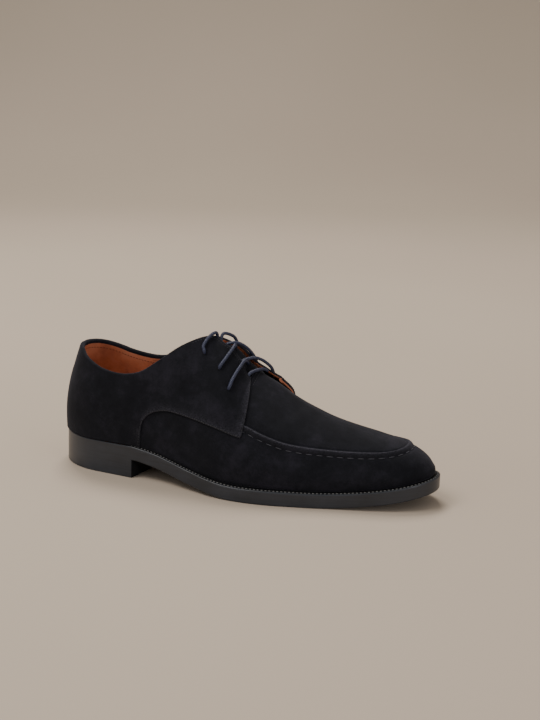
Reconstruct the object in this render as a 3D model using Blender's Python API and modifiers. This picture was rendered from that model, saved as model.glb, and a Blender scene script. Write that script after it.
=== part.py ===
"""Right-foot derby shoe with a raised apron seam, built from the sections of its last.

Sizes are in millimetres and become metres when a mesh is made. In the shoe's own frame x runs from
the back of the heel to the toe, y from the outer side of the foot (-) to the inner side (+), and z
up from the floor. The finished shoe stands with the middle of its box over the origin.
"""

import math
from collections import namedtuple

import bmesh
import bpy
import numpy

MM = 0.001
PARTS = "derby_shoe"
CUTTERS = "cutters"
OUTER, INNER = -1, 1         # the two sides of the foot

# ---------------------------------------------------------------- driving dimensions
SOLE_LENGTH = 303.0
GAP = 0.3                    # clearance between pieces that touch
HEEL_HEIGHT = 14.2
HEEL_BREAST = 72.0           # distance of the heel's front face from its back, on the outer side
BREAST_SKEW = 9.0            # how much longer the heel is on the inner side
OUTSOLE_THICKNESS = 7.2
WELT_THICKNESS = 3.2
WELT_WIDTH = 10.5            # from the sole's edge to the welt's inner edge
TOE_SPRING = 12.0
BALL_BACK = 168.0            # the sole lies on the floor between these two distances
BALL_FRONT = 212.0
WALL = 2.2                   # leather and lining of the upper
INSOLE_THICKNESS = 3.0
INSOLE_PLAY = 1.2            # room between the insole and the upper's wall
TONGUE_THICKNESS = 2.0
UPPER_LIFT = 0.4             # keeps the wall's inner edge off the welt where the side leans in
OVERLAY = 1.3                # quarter leather that lies over the vamp
QUARTER_GAP = 0.5            # room between the quarter and the wall under it
QUARTER_LIFT = 0.8           # its lower edge ends this far above the welt's joint
SEAM_HEIGHT = 1.6            # how far the apron seam stands up
SEAM_WIDTH = 5.0
SEAM_RISE = 12.0             # it rises over this length in front of the quarters
LACE = 2.5                   # diameter of the round lace
LACE_STEP = 5.0              # distance between the points of a strand
EDGE_CHAMFER = 0.8

HEEL_ROUND = 39.0            # length of the rounded back end of the sole
TOE_ROUND = 53.0             # length of its rounded front end
HEEL_POLE = 40.0             # the last's sections turn about this point around the heel
TOE_POLE = 262.0             # and about this one around the toe
THROAT = 157.0               # the facings end here and the vamp begins
SWELL_SHARE = 0.45           # the side swells over this share of a section's height

Sole = namedtuple("Sole", "x swing half welt")
SOLE_TABLE = [
    # x, centre line's y, half width, upper's distance from the edge
    Sole(0.0, 4.6, 34.0, 0.8),
    Sole(33.0, 0.0, 34.0, 0.8),
    Sole(52.0, -2.6, 34.0, 0.8),
    Sole(72.0, -5.4, 33.8, 1.2),
    Sole(95.0, -9.4, 32.3, 2.6),
    Sole(120.0, -12.6, 36.5, 3.8),
    Sole(150.0, -12.2, 45.0, 4.2),
    Sole(180.0, -7.4, 50.0, 4.4),
    Sole(210.0, -1.8, 49.2, 4.4),
    Sole(240.0, 0.5, 42.9, 4.4),
    Sole(262.0, 0.5, 37.6, 4.5),
    Sole(280.0, 0.6, 36.3, 4.6),
    Sole(303.0, 0.7, 35.5, 4.6),
]

Crest = namedtuple("Crest", "x height ridge rise spread inner_spread swell")
CREST_TABLE = [
    # x, height of the last's top line, its y, powers of the section (the second one for the outer
    # and for the inner side), swell of the side
    Crest(0.0, 134.0, 0.0, 2.2, 1.2, 1.2, 1.6),
    Crest(45.0, 138.0, 0.0, 2.2, 1.2, 1.2, 1.0),
    Crest(75.0, 139.0, 0.0, 2.2, 1.2, 1.2, 0.8),
    Crest(100.0, 131.0, -1.0, 2.3, 1.2, 1.3, 1.2),
    Crest(127.0, 114.7, -1.5, 2.4, 1.2, 1.5, 1.5),
    Crest(141.0, 106.0, -1.5, 2.5, 1.2, 1.7, 1.5),
    Crest(157.0, 87.5, -0.5, 2.5, 1.25, 1.8, 1.5),
    Crest(176.0, 75.0, 1.0, 2.5, 1.35, 1.8, 1.5),
    Crest(196.0, 64.6, 2.0, 2.5, 1.5, 1.75, 1.5),
    Crest(220.0, 55.1, 2.0, 2.5, 1.75, 1.85, 1.4),
    Crest(240.0, 50.2, 1.5, 2.7, 2.1, 2.1, 1.2),
    Crest(252.0, 47.8, 1.2, 2.8, 2.4, 2.4, 1.0),
    Crest(262.0, 46.0, 1.0, 2.9, 2.6, 2.6, 1.0),
]

Topline = namedtuple("Topline", "x outer inner")
TOPLINE_TABLE = [
    # x of the section's foot, height of the collar and the facings on the two sides
    Topline(0.0, 93.5, 93.5),
    Topline(9.7, 91.6, 92.2),
    Topline(19.0, 88.0, 90.5),
    Topline(31.0, 84.5, 88.0),
    Topline(44.0, 80.8, 85.3),
    Topline(58.0, 79.4, 83.6),
    Topline(70.0, 81.2, 84.0),
    Topline(78.0, 84.6, 86.5),
    Topline(91.0, 94.2, 95.0),
    Topline(104.0, 103.9, 102.6),
    Topline(117.0, 110.2, 107.2),
    Topline(126.0, 111.0, 106.8),
    Topline(133.0, 107.2, 104.6),
    Topline(141.0, 102.0, 101.0),
    Topline(149.0, 93.0, 93.6),
    Topline(THROAT, 83.0, 83.6),
]

Seam = namedtuple("Seam", "x height")
SEAM_TABLE = [
    # x of the section's foot, height of the quarters' lower edge and then of the apron seam
    Seam(60.0, 42.0),
    Seam(78.0, 42.0),
    Seam(84.0, 51.5),
    Seam(92.0, 56.0),
    Seam(102.0, 57.3),
    Seam(120.0, 55.3),
    Seam(141.0, 51.6),
    Seam(149.0, 49.3),
    Seam(157.0, 46.8),
    Seam(165.0, 47.5),
    Seam(171.0, 48.6),
    Seam(177.0, 47.6),
    Seam(193.0, 42.2),
    Seam(208.0, 39.6),
    Seam(222.0, 38.3),
    Seam(236.0, 37.7),
    Seam(250.0, 38.0),
    Seam(262.0, 38.6),
    Seam(271.0, 39.2),
    Seam(286.5, 40.9),
    Seam(294.4, 42.0),
    Seam(298.4, 42.6),
]

Front = namedtuple("Front", "foot bulge top reach")
FRONTS = {
    # x of a quarter's front edge at its foot, how far it bows, x at its top; throat's half width
    OUTER: Front(162.6, 3.0, 157.5, 12.3),
    INNER: Front(170.0, 9.5, 171.0, 9.5),
}

Tongue = namedtuple("Tongue", "x depth")
TONGUE_TABLE = [
    # x of a section of the tongue, room between the upper's wall and the tongue
    Tongue(136.0, 5.8),
    Tongue(143.0, 4.8),
    Tongue(150.0, 3.8),
    Tongue(158.0, 1.8),
    Tongue(166.0, 1.2),
    Tongue(174.0, 1.2),
]

# Points that the lace passes, each strand from its eyelet on. At a crossing the first strand runs
# from the outer facing under the second one, which runs over it from the inner facing.
LOW_CROSSING = (
    [(148.3, -33.3, 79.9), (148.7, -29.3, 84.1), (149.5, -24.3, 88.0), (150.5, -17.6, 92.2),
     (151.5, -11.9, 95.3), (150.9, -6.8, 94.2), (149.8, -0.5, 91.6), (149.2, 3.6, 89.4)],
    [(164.2, 21.6, 73.2), (165.0, 18.5, 79.5), (164.5, 14.5, 85.5), (162.5, 11.0, 89.3),
     (159.0, 7.0, 93.0), (154.9, 2.5, 95.2), (150.2, -3.5, 94.8), (147.3, -7.4, 93.4)],
)
HIGH_CROSSING = (
    [(138.0, -27.0, 93.3), (139.6, -23.0, 96.9), (140.9, -18.4, 100.3), (142.3, -12.4, 104.3),
     (142.3, -8.6, 105.9), (141.3, -5.0, 105.1), (140.0, -1.0, 103.9), (138.9, 3.2, 101.8)],
    [(150.8, 20.9, 79.2), (151.5, 18.4, 84.0), (151.7, 14.5, 89.6), (150.8, 10.5, 94.8),
     (148.2, 6.4, 100.1), (144.3, 2.0, 104.4), (140.3, -1.5, 106.3), (134.8, -7.2, 105.6)],
)
BAR = [(156.3, -11.0, 86.3), (157.6, -7.5, 87.0), (159.5, -2.0, 87.3), (161.3, 3.0, 86.9),
       (162.4, 6.4, 85.8)]
OUTER_END = [(123.1, -22.6, 102.7), (121.8, -21.0, 105.5), (122.6, -17.4, 109.2),
             (124.3, -13.9, 112.2), (126.0, -10.6, 113.9), (127.0, -7.6, 113.4),
             (127.2, -5.8, 109.6), (126.8, -3.8, 105.8), (126.7, -2.4, 101.6)]
INNER_END = [(137.0, 18.8, 86.0), (137.6, 15.2, 95.3), (137.2, 10.6, 103.4), (136.2, 6.4, 108.6),
             (134.6, 2.8, 110.9), (132.3, 0.0, 112.2), (130.3, -2.2, 112.3),
             (129.8, -4.5, 109.6), (130.2, -5.9, 106.0)]

# ---------------------------------------------------------------- the grid over the last
HEEL_STEPS = 6
TOE_STEPS = 7
QUARTER_STATIONS = (49.0, 58.0, 67.0, 78.0, 84.0, 92.0, 102.0, 114.0, 126.0, 133.0, 141.0, 149.0)
VAMP_STATIONS = (THROAT, 165.0, 176.0, 187.0, 198.0, 209.0, 220.0, 231.0, 242.0, 252.0, TOE_POLE)
QUARTER_FOOT = 78.0          # in front of this station the quarters end at the seam
SEAM_ROW = 4                 # row of the grid on the seam
TOP_ROW = 9                  # row on the collar and the facings
CREST_ROW = 12               # row on the vamp's middle line
STRIP_STEPS = 3              # columns of a quarter in front of the throat
HEEL_TURNS = 6               # stations of the sole around the heel
TOE_TURNS = 8                # and around the toe
SOLE_STATIONS = (55.0, HEEL_BREAST, 84.0, 96.0, 108.0, 120.0, 132.0, 144.0, 156.0, BALL_BACK,
                 180.0, 196.0, BALL_FRONT, 222.0, 232.0, 242.0)
DENSE = 60                   # steps used to measure along a section
WELD = 0.01                  # points this close together become one
SHARP = 35.0                 # degrees, edges sharper than this are shaded as edges
TONGUE_DROPS = (26.0, 18.0, 11.0, 5.0, 2.0)   # below the last's top line, from edge to middle

Ray = namedtuple("Ray", "foot centre top rise spread swell tilt")
Along = namedtuple("Along", "x forward across up")   # x is the length run so far


def read(table, column, x):
    """Value of one column at x: a smooth curve through the table's rows."""
    rows = [(row.x, getattr(row, column)) for row in table]
    if x <= rows[0][0]:
        return rows[0][1]
    if x >= rows[-1][0]:
        return rows[-1][1]
    i = max(k for k in range(len(rows) - 1) if rows[k][0] <= x)

    def slope(k):
        before = rows[max(k - 1, 0)]
        after = rows[min(k + 1, len(rows) - 1)]
        return (after[1] - before[1]) / (after[0] - before[0])

    (x0, v0), (x1, v1) = rows[i], rows[i + 1]
    run = x1 - x0
    u = (x - x0) / run
    return (v0 * (1 + 2 * u) * (1 - u) ** 2 + v1 * u * u * (3 - 2 * u)
            + slope(i) * run * u * (1 - u) ** 2 - slope(i + 1) * run * u * u * (1 - u))


def half_width(x, inset):
    """Half the sole's width at x, with its whole outline moved in by inset."""
    width = read(SOLE_TABLE, "half", x) - inset
    heel = min(max((x - inset) / (HEEL_ROUND - inset), 0.0), 1.0)
    toe = min(max((SOLE_LENGTH - inset - x) / (TOE_ROUND - inset), 0.0), 1.0)
    return width * math.sqrt((1 - (1 - heel) ** 2) * (1 - (1 - toe) ** 2))


def edge(x, side, inset):
    """y of the sole's outline, moved in by inset, on the outer or the inner side."""
    return read(SOLE_TABLE, "swing", x) + side * half_width(x, inset)


def tread(x):
    """Height of the outsole's underside: heel seat, waist, ball on the floor, toe spring."""
    seat = HEEL_HEIGHT + GAP
    if x <= HEEL_BREAST:
        return seat
    if x < BALL_BACK:
        u = (x - HEEL_BREAST) / (BALL_BACK - HEEL_BREAST)
        return seat * (1 - u) ** 2 * (1 + 1.1 * u)
    spring = max(x - BALL_FRONT, 0.0) / (SOLE_LENGTH - BALL_FRONT)
    return TOE_SPRING * spring ** 2


def feather(x):
    """Height at which the upper meets the welt."""
    return tread(x) + OUTSOLE_THICKNESS + WELT_THICKNESS + 2 * GAP


# ---------------------------------------------------------------- the last's surface
def make_ray(x, side):
    """Section of the last from its feather line at x up to the top line, on one side.

    Between the two poles a section stands square to x. Around the heel and the toe it turns
    about the pole, and the toe keeps the fall of the vamp's middle line.
    """
    pole = min(max(x, HEEL_POLE), TOE_POLE)
    foot = (x, edge(x, side, read(SOLE_TABLE, "welt", x)), feather(x) + UPPER_LIFT)
    centre = (pole, read(CREST_TABLE, "ridge", pole))
    spread = "spread" if side == OUTER else "inner_spread"
    values = [read(CREST_TABLE, column, pole) for column in ("height", "rise", spread, "swell")]
    before, last = CREST_TABLE[-2:]
    tilt = (last.height - before.height) / (last.x - before.x)
    return Ray(foot, centre, *values, tilt)


def ray_point(ray, angle):
    """Point of a section: angle 0 is the feather line, a right angle is the top line."""
    across = max(math.cos(angle), 0.0) ** (2 / ray.spread)
    up = max(math.sin(angle), 0.0) ** (2 / ray.rise)
    reach = math.dist(ray.foot[:2], ray.centre)
    swell = ray.swell * math.sin(math.pi * min(up / SWELL_SHARE, 1.0))
    scale = across + swell / reach
    x = ray.centre[0] + (ray.foot[0] - ray.centre[0]) * scale
    y = ray.centre[1] + (ray.foot[1] - ray.centre[1]) * scale
    fall = ray.tilt * up * max(x - TOE_POLE, 0.0)
    return x, y, ray.foot[2] + up * (ray.top - ray.foot[2]) + fall


def angle_at_height(ray, height):
    """Angle at which a section reaches a height."""
    low, high = 0.0, math.pi / 2
    for _ in range(30):
        middle = (low + high) / 2
        if ray_point(ray, middle)[2] < height:
            low = middle
        else:
            high = middle
    return low


def angle_at_reach(ray, reach):
    """Angle at which a section comes within a distance of its top line, seen from above."""
    share = reach / math.dist(ray.foot[:2], ray.centre)
    return math.acos(min(share, 1.0) ** (ray.spread / 2))


def lengths_along(ray, start, end):
    """Angles from start to end in small steps, and the section's length up to each."""
    angles = [start + (end - start) * i / DENSE for i in range(DENSE + 1)]
    points = [ray_point(ray, angle) for angle in angles]
    lengths = [0.0]
    for before, after in zip(points, points[1:]):
        lengths.append(lengths[-1] + math.dist(before, after))
    return angles, lengths


def spaced(ray, start, end, steps):
    """Angles from start to end that part the section's length into equal steps."""
    angles, lengths = lengths_along(ray, start, end)
    wanted = [lengths[-1] * i / steps for i in range(steps + 1)]
    return [float(numpy.interp(length, lengths, angles)) for length in wanted]


def angle_beyond(ray, start, end, distance):
    """Angle of the point a distance from start along the section, towards end."""
    angles, lengths = lengths_along(ray, start, end)
    return float(numpy.interp(distance, lengths, angles))


# ---------------------------------------------------------------- columns of the grid
def quarter_column(side, x):
    """Points of a quarter's section, by row: feather line, seam, top line."""
    ray = make_ray(x, side)
    seam = angle_at_height(ray, read(SEAM_TABLE, "height", x))
    top = angle_at_height(ray, read(TOPLINE_TABLE, "outer" if side == OUTER else "inner", x))
    angles = spaced(ray, 0.0, seam, SEAM_ROW) + spaced(ray, seam, top, TOP_ROW - SEAM_ROW)[1:]
    return {row: ray_point(ray, angle) for row, angle in enumerate(angles)}


def vamp_column(side, x):
    """Points of a vamp section, by row, with one row on each side of the apron seam."""
    ray = make_ray(x, side)
    crest = math.pi / 2
    seam = angle_at_height(ray, read(SEAM_TABLE, "height", x))
    below = angle_beyond(ray, seam, 0.0, SEAM_WIDTH / 2)
    above = angle_beyond(ray, seam, crest, SEAM_WIDTH / 2)
    facing = angle_at_reach(ray, FRONTS[side].reach)
    angles = spaced(ray, 0.0, below, SEAM_ROW - 1) + [seam]
    angles += spaced(ray, above, facing, TOP_ROW - SEAM_ROW - 1)
    angles += spaced(ray, facing, crest, CREST_ROW - TOP_ROW)[1:]
    return {row: ray_point(ray, angle) for row, angle in enumerate(angles)}


def heel_stations():
    """x of the sections' feet around the heel, from the back to the pole."""
    back = SOLE_TABLE[0].welt
    turns = [math.pi / 2 * i / HEEL_STEPS for i in range(HEEL_STEPS + 1)]
    return [HEEL_POLE - (HEEL_POLE - back) * math.cos(turn) for turn in turns]


def toe_stations():
    """x of the sections' feet around the toe, past the pole up to the tip."""
    tip = SOLE_LENGTH - SOLE_TABLE[-1].welt
    turns = [math.pi / 2 * i / TOE_STEPS for i in range(1, TOE_STEPS + 1)]
    return [TOE_POLE + (tip - TOE_POLE) * math.sin(turn) for turn in turns]


def quarter_columns(side):
    """A quarter's columns from the back of the heel to the last one before the throat."""
    return [quarter_column(side, x) for x in heel_stations() + list(QUARTER_STATIONS)]


def vamp_columns(side):
    """The vamp's columns from the throat to the tip of the toe."""
    return [vamp_column(side, x) for x in list(VAMP_STATIONS) + toe_stations()]


def along(columns, row, x):
    """Point at x on a row of the grid, on the straight stretches between its columns."""
    points = [column[row] for column in columns]
    xs = [point[0] for point in points]
    return tuple(float(numpy.interp(x, xs, [point[axis] for point in points])) for axis in range(3))


def strip_columns(side):
    """Columns of a quarter in front of the throat, up to its bowed front edge."""
    vamp = vamp_columns(side)
    front = FRONTS[side]
    columns = []
    for step in range(STRIP_STEPS + 1):
        column = {}
        for row in range(SEAM_ROW, TOP_ROW + 1):
            v = (row - SEAM_ROW) / (TOP_ROW - SEAM_ROW)
            end = front.foot + (front.top - front.foot) * v + front.bulge * 4 * v * (1 - v)
            column[row] = along(vamp, row, THROAT + (end - THROAT) * step / STRIP_STEPS)
        columns.append(column)
    return columns


# ---------------------------------------------------------------- meshes
def new_material(name, colour, roughness):
    """Principled material with one colour."""
    material = bpy.data.materials.new(name)
    material.use_nodes = True
    shader = material.node_tree.nodes["Principled BSDF"]
    shader.inputs["Base Color"].default_value = (*colour, 1.0)
    shader.inputs["Roughness"].default_value = roughness
    material.diffuse_color = (*colour, 1.0)
    return material


def add_object(name, bm, material):
    """Put a bmesh that is in millimetres into the shoe's collection, with its material."""
    bmesh.ops.scale(bm, vec=(MM, MM, MM), verts=bm.verts)
    mesh = bpy.data.meshes.new(name)
    bm.to_mesh(mesh)
    bm.free()
    mesh.shade_smooth()
    mesh.set_sharp_from_angle(angle=math.radians(SHARP))
    mesh.materials.append(material)
    part = bpy.data.objects.new(name, mesh)
    bpy.data.collections[PARTS].objects.link(part)
    return part


def grid_sheet(columns, closed=False, lift=None):
    """Open sheet through columns of points, its front to the right of the way they run.

    lift gives, from a row and a point, how far that point then moves out along the normal.
    """
    bm = bmesh.new()
    lifts = bm.verts.layers.float.new("lift")
    rings = []
    for column in columns:
        ring = {row: bm.verts.new(point) for row, point in column.items()}
        for row, vert in ring.items():
            vert[lifts] = lift(row, column[row]) if lift else 0.0
        rings.append(ring)
    following = rings[1:] + rings[:1] if closed else rings[1:]
    for here, there in zip(rings, following):
        for row in here:
            if row + 1 in here and row in there and row + 1 in there:
                bm.faces.new((here[row], here[row + 1], there[row + 1], there[row]))
    bmesh.ops.remove_doubles(bm, verts=bm.verts, dist=WELD)
    bm.normal_update()
    for vert, move in [(vert, vert.normal * vert[lifts]) for vert in bm.verts]:
        vert.co += move
    return bm


def add_wall(name, bm, material, thickness, offset):
    """Object whose wall is a sheet made thick to its front (+1) or to its back (-1)."""
    part = add_object(name, bm, material)
    solidify = part.modifiers.new("wall", "SOLIDIFY")
    solidify.thickness = thickness * MM
    solidify.offset = offset
    return part


def level(value):
    """Function of x that has one value everywhere."""
    return lambda x: value


def above(base, rise):
    """Function of x that lies a rise above another one."""
    return lambda x: base(x) + rise


def outline(inset, height):
    """Loop of points round the sole: out along the outer side and back along the inner one."""
    heel, toe = HEEL_ROUND - inset(0.0), TOE_ROUND - inset(SOLE_LENGTH)
    stations = [HEEL_ROUND - heel * math.cos(math.pi / 2 * i / HEEL_TURNS)
                for i in range(HEEL_TURNS + 1)]
    stations += SOLE_STATIONS
    stations += [SOLE_LENGTH - TOE_ROUND + toe * math.sin(math.pi / 2 * i / TOE_TURNS)
                 for i in range(TOE_TURNS + 1)]
    outer = [(x, edge(x, OUTER, inset(x)), height(x)) for x in stations]
    inner = [(x, edge(x, INNER, inset(x)), height(x)) for x in stations]
    return outer + inner[-2:0:-1]


def layer(profile, ring=False):
    """Closed layer of the sole through outlines given as (inset, height) pairs of functions.

    A plain layer is closed by faces across the first and the last outline. In a ring the last
    outline joins the first instead.
    """
    bm = bmesh.new()
    loops = [[bm.verts.new(point) for point in outline(*pair)] for pair in profile]
    count = len(loops[0])
    following = loops[1:] + loops[:1] if ring else loops[1:]
    for low, high in zip(loops, following):
        for i in range(count):
            j = (i + 1) % count
            bm.faces.new((low[i], low[j], high[j], high[i]))
    for loop in [] if ring else [loops[0], loops[-1]]:
        for i in range(count // 2):
            bm.faces.new(list(dict.fromkeys([loop[i], loop[i + 1], loop[-i - 1], loop[-i]])))
    bmesh.ops.recalc_face_normals(bm, faces=bm.faces)
    return bm


def chamfered(base, top):
    """Outlines of a layer between two height functions, with both its edges chamfered."""
    return [(level(EDGE_CHAMFER), base), (level(0.0), above(base, EDGE_CHAMFER)),
            (level(0.0), above(top, -EDGE_CHAMFER)), (level(EDGE_CHAMFER), top)]


# ---------------------------------------------------------------- the sole's pieces
def build_outsole(material):
    """Long sole that follows the waist, the ball and the toe spring."""
    add_object("outsole", layer(chamfered(tread, above(tread, OUTSOLE_THICKNESS))), material)


def build_heel(material):
    """Low block under the seat, cut off straight at its breast."""
    bm = layer(chamfered(level(0.0), above(tread, -GAP)))
    bmesh.ops.bisect_plane(bm, geom=bm.verts[:] + bm.edges[:] + bm.faces[:], clear_outer=True,
                           plane_co=(HEEL_BREAST, edge(HEEL_BREAST, OUTER, 0.0), 0.0),
                           plane_no=(2 * half_width(HEEL_BREAST, 0.0), -BREAST_SKEW, 0.0))
    bmesh.ops.holes_fill(bm, edges=[rim for rim in bm.edges if rim.is_boundary], sides=0)
    add_object("heel", bm, material)


def build_welt(material):
    """Stitched strip all the way round, on which the upper stands."""
    base = above(tread, OUTSOLE_THICKNESS + GAP)
    top = above(base, WELT_THICKNESS)
    inner = [(level(WELT_WIDTH), top), (level(WELT_WIDTH), base)]
    add_object("welt", layer(chamfered(base, top) + inner, ring=True), material)


def build_insole(material):
    """Board that rests on the welt inside the upper's wall."""
    def inset(x):
        return read(SOLE_TABLE, "welt", x) + WALL + INSOLE_PLAY
    add_object("insole", layer([(inset, feather), (inset, above(feather, INSOLE_THICKNESS))]),
               material)


# ---------------------------------------------------------------- the upper's pieces
def build_upper(material):
    """Hollow upper: one wall, open at the collar, the throat and underneath."""
    def seam(row, point):
        front = FRONTS[OUTER if point[1] < 0.0 else INNER]
        rise = (point[0] - front.foot - front.bulge) / SEAM_RISE
        return SEAM_HEIGHT * min(max(rise, 0.0), 1.0) if row == SEAM_ROW else 0.0

    outer_vamp, inner_vamp = vamp_columns(OUTER), vamp_columns(INNER)
    columns = outer_vamp[:1] + quarter_columns(OUTER)[::-1] + quarter_columns(INNER)[1:]
    columns += inner_vamp[:-1] + outer_vamp[:0:-1]
    add_wall("upper", grid_sheet(columns, closed=True, lift=seam), material, WALL, -1)


def build_quarter(name, side, material):
    """Quarter with its facing, which lies over the upper's wall behind its lower seam."""
    columns = []
    stations = heel_stations() + list(QUARTER_STATIONS)
    for x, column in zip(stations, quarter_columns(side)):
        lowest = 0 if x <= QUARTER_FOOT else SEAM_ROW
        x_foot, y_foot, z_foot = column[0]
        column[0] = (x_foot, y_foot, z_foot + QUARTER_LIFT)
        columns.append({row: point for row, point in column.items() if row >= lowest})
    columns[0] = {row: (x, y + side * GAP, z) for row, (x, y, z) in columns[0].items()}
    columns += strip_columns(side)
    if side == OUTER:
        columns.reverse()
    sheet = grid_sheet(columns, lift=lambda row, point: QUARTER_GAP)
    add_wall(name, sheet, material, OVERLAY, 1)


def build_tongue(material):
    """Curved sheet under the facings that runs on under the vamp."""
    columns = []
    for x in [row.x for row in TONGUE_TABLE[::-1]]:
        outer, inner = make_ray(x, OUTER), make_ray(x, INNER)
        sections = [(outer, drop) for drop in TONGUE_DROPS]
        sections += [(inner, drop) for drop in (0.0,) + TONGUE_DROPS[::-1]]
        points = [ray_point(ray, angle_at_height(ray, ray.top - drop)) for ray, drop in sections]
        columns.append(dict(enumerate(points)))
    def sink(row, point):
        return -WALL - read(TONGUE_TABLE, "depth", point[0])
    add_wall("tongue", grid_sheet(columns, lift=sink), material, TONGUE_THICKNESS, -1)


# ---------------------------------------------------------------- the lace
def smooth_route(points):
    """Points at even steps on the smooth curve through a strand's own points."""
    lengths = [0.0]
    for before, after in zip(points, points[1:]):
        lengths.append(lengths[-1] + math.dist(before, after))
    rows = [Along(length, *point) for length, point in zip(lengths, points)]
    steps = round(lengths[-1] / LACE_STEP)
    return [[read(rows, column, lengths[-1] * i / steps) for column in Along._fields[1:]]
            for i in range(steps + 1)]


def add_strand(name, points, material):
    """Round strand of lace, as a curve with closed ends."""
    curve = bpy.data.curves.new(name, "CURVE")
    curve.dimensions = "3D"
    curve.bevel_depth = LACE / 2 * MM
    curve.bevel_resolution = 2
    curve.use_fill_caps = True
    route = smooth_route(points)
    spline = curve.splines.new("POLY")
    spline.points.add(len(route) - 1)
    for place, point in zip(spline.points, route):
        place.co = (*(value * MM for value in point), 1.0)
    curve.materials.append(material)
    strand = bpy.data.objects.new(name, curve)
    bpy.data.collections[PARTS].objects.link(strand)
    return strand


def make_mesh(strand, collection):
    """Mesh object in place of a strand's curve, with its end caps welded on."""
    bpy.context.view_layer.update()
    graph = bpy.context.evaluated_depsgraph_get()
    mesh = bpy.data.meshes.new_from_object(strand.evaluated_get(graph))
    bm = bmesh.new()
    bm.from_mesh(mesh)
    bmesh.ops.remove_doubles(bm, verts=bm.verts, dist=WELD * MM)
    bm.to_mesh(mesh)
    bm.free()
    name = strand.name
    placed = bpy.data.objects.new(name + "_mesh", mesh)
    placed.matrix_world = strand.matrix_world
    bpy.data.objects.remove(strand)
    placed.name = name
    bpy.data.collections[collection].objects.link(placed)
    return placed


def build_crossing(name, routes, material):
    """Two strands that cross and touch, joined into one solid."""
    under, over = (add_strand(name + suffix, route, material)
                   for suffix, route in zip(("", "_over"), routes))
    crossing = make_mesh(under, PARTS)
    cutter = make_mesh(over, CUTTERS)
    cutter.hide_render = True
    cutter.display_type = "WIRE"
    join = crossing.modifiers.new("join", "BOOLEAN")
    join.operation = "UNION"
    join.object = cutter


def stand_on_origin(parts, cutters):
    """Move the finished shoe so that the middle of its box stands on the origin."""
    bpy.context.view_layer.update()
    graph = bpy.context.evaluated_depsgraph_get()
    corners = [part.matrix_world @ vert.co
               for part in parts for vert in part.evaluated_get(graph).to_mesh().vertices]
    middle = [(min(c[axis] for c in corners) + max(c[axis] for c in corners)) / 2
              for axis in range(2)]
    for part in parts + cutters:
        part.location.x -= middle[0]
        part.location.y -= middle[1]


def main():
    """Build the shoe."""
    for old in list(bpy.data.objects):
        bpy.data.objects.remove(old)
    parts, cutters = (bpy.data.collections.new(name) for name in (PARTS, CUTTERS))
    for collection in (parts, cutters):
        bpy.context.scene.collection.children.link(collection)

    sole_black = new_material("blacked sole leather", (0.020, 0.020, 0.022), 0.35)
    suede = new_material("midnight suede", (0.012, 0.012, 0.015), 0.95)
    insole_tan = new_material("tan insole leather", (0.20, 0.065, 0.025), 0.55)
    waxed_lace = new_material("navy waxed lace", (0.045, 0.055, 0.075), 0.40)

    build_heel(sole_black)
    build_outsole(sole_black.copy())
    build_welt(sole_black.copy())
    build_insole(insole_tan)
    build_upper(suede)
    build_tongue(suede.copy())
    build_quarter("quarter_outer", OUTER, suede.copy())
    build_quarter("quarter_inner", INNER, suede.copy())
    build_crossing("lace_crossing_low", LOW_CROSSING, waxed_lace)
    build_crossing("lace_crossing_high", HIGH_CROSSING, waxed_lace.copy())
    add_strand("lace_bar", BAR, waxed_lace.copy())
    add_strand("lace_end_outer", OUTER_END, waxed_lace.copy())
    add_strand("lace_end_inner", INNER_END, waxed_lace.copy())
    stand_on_origin(list(parts.objects), list(cutters.objects))


if __name__ == "__main__":
    main()
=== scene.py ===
"""Looks of a right-foot derby shoe: suede over a welted sole, with a raised apron seam.

Sizes are in millimetres in the shoe's own frame, as in the solids: x from the back of the heel to
the toe, y from the outer side of the foot (-) to the inner side (+), z up from the floor. Stand
turns them into the frame's metres. Each surface is worked out from the last, as the solids are.
"""

import logging
import math
from collections.abc import Callable, Sequence
from dataclasses import dataclass, field
from enum import Enum

import bmesh
import bpy
import numpy as np
from mathutils import Matrix, Vector
from mathutils.bvhtree import BVHTree


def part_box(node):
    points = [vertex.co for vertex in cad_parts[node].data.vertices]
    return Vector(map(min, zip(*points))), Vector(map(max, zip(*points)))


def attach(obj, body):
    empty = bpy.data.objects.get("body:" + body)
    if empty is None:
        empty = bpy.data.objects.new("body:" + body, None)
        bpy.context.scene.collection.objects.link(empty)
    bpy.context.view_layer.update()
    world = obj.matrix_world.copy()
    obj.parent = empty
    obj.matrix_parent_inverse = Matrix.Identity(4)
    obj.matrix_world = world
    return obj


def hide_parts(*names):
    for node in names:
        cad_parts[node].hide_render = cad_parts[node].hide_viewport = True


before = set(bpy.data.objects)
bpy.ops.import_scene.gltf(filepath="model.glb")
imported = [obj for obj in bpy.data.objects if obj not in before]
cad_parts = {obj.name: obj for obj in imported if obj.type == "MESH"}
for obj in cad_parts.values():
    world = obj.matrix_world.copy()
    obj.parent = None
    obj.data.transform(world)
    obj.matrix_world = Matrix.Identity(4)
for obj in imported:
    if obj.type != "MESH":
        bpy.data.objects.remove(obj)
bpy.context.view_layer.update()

Array = np.ndarray
Piece = bpy.types.Object
Material = bpy.types.Material

MM = 0.001
BODY = "root"
FACING_START = 112.0
log = logging.getLogger("derby_shoe")


class Side(Enum):
    """The two sides of the foot, by the sign of y."""

    OUTER = -1
    INNER = 1


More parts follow.
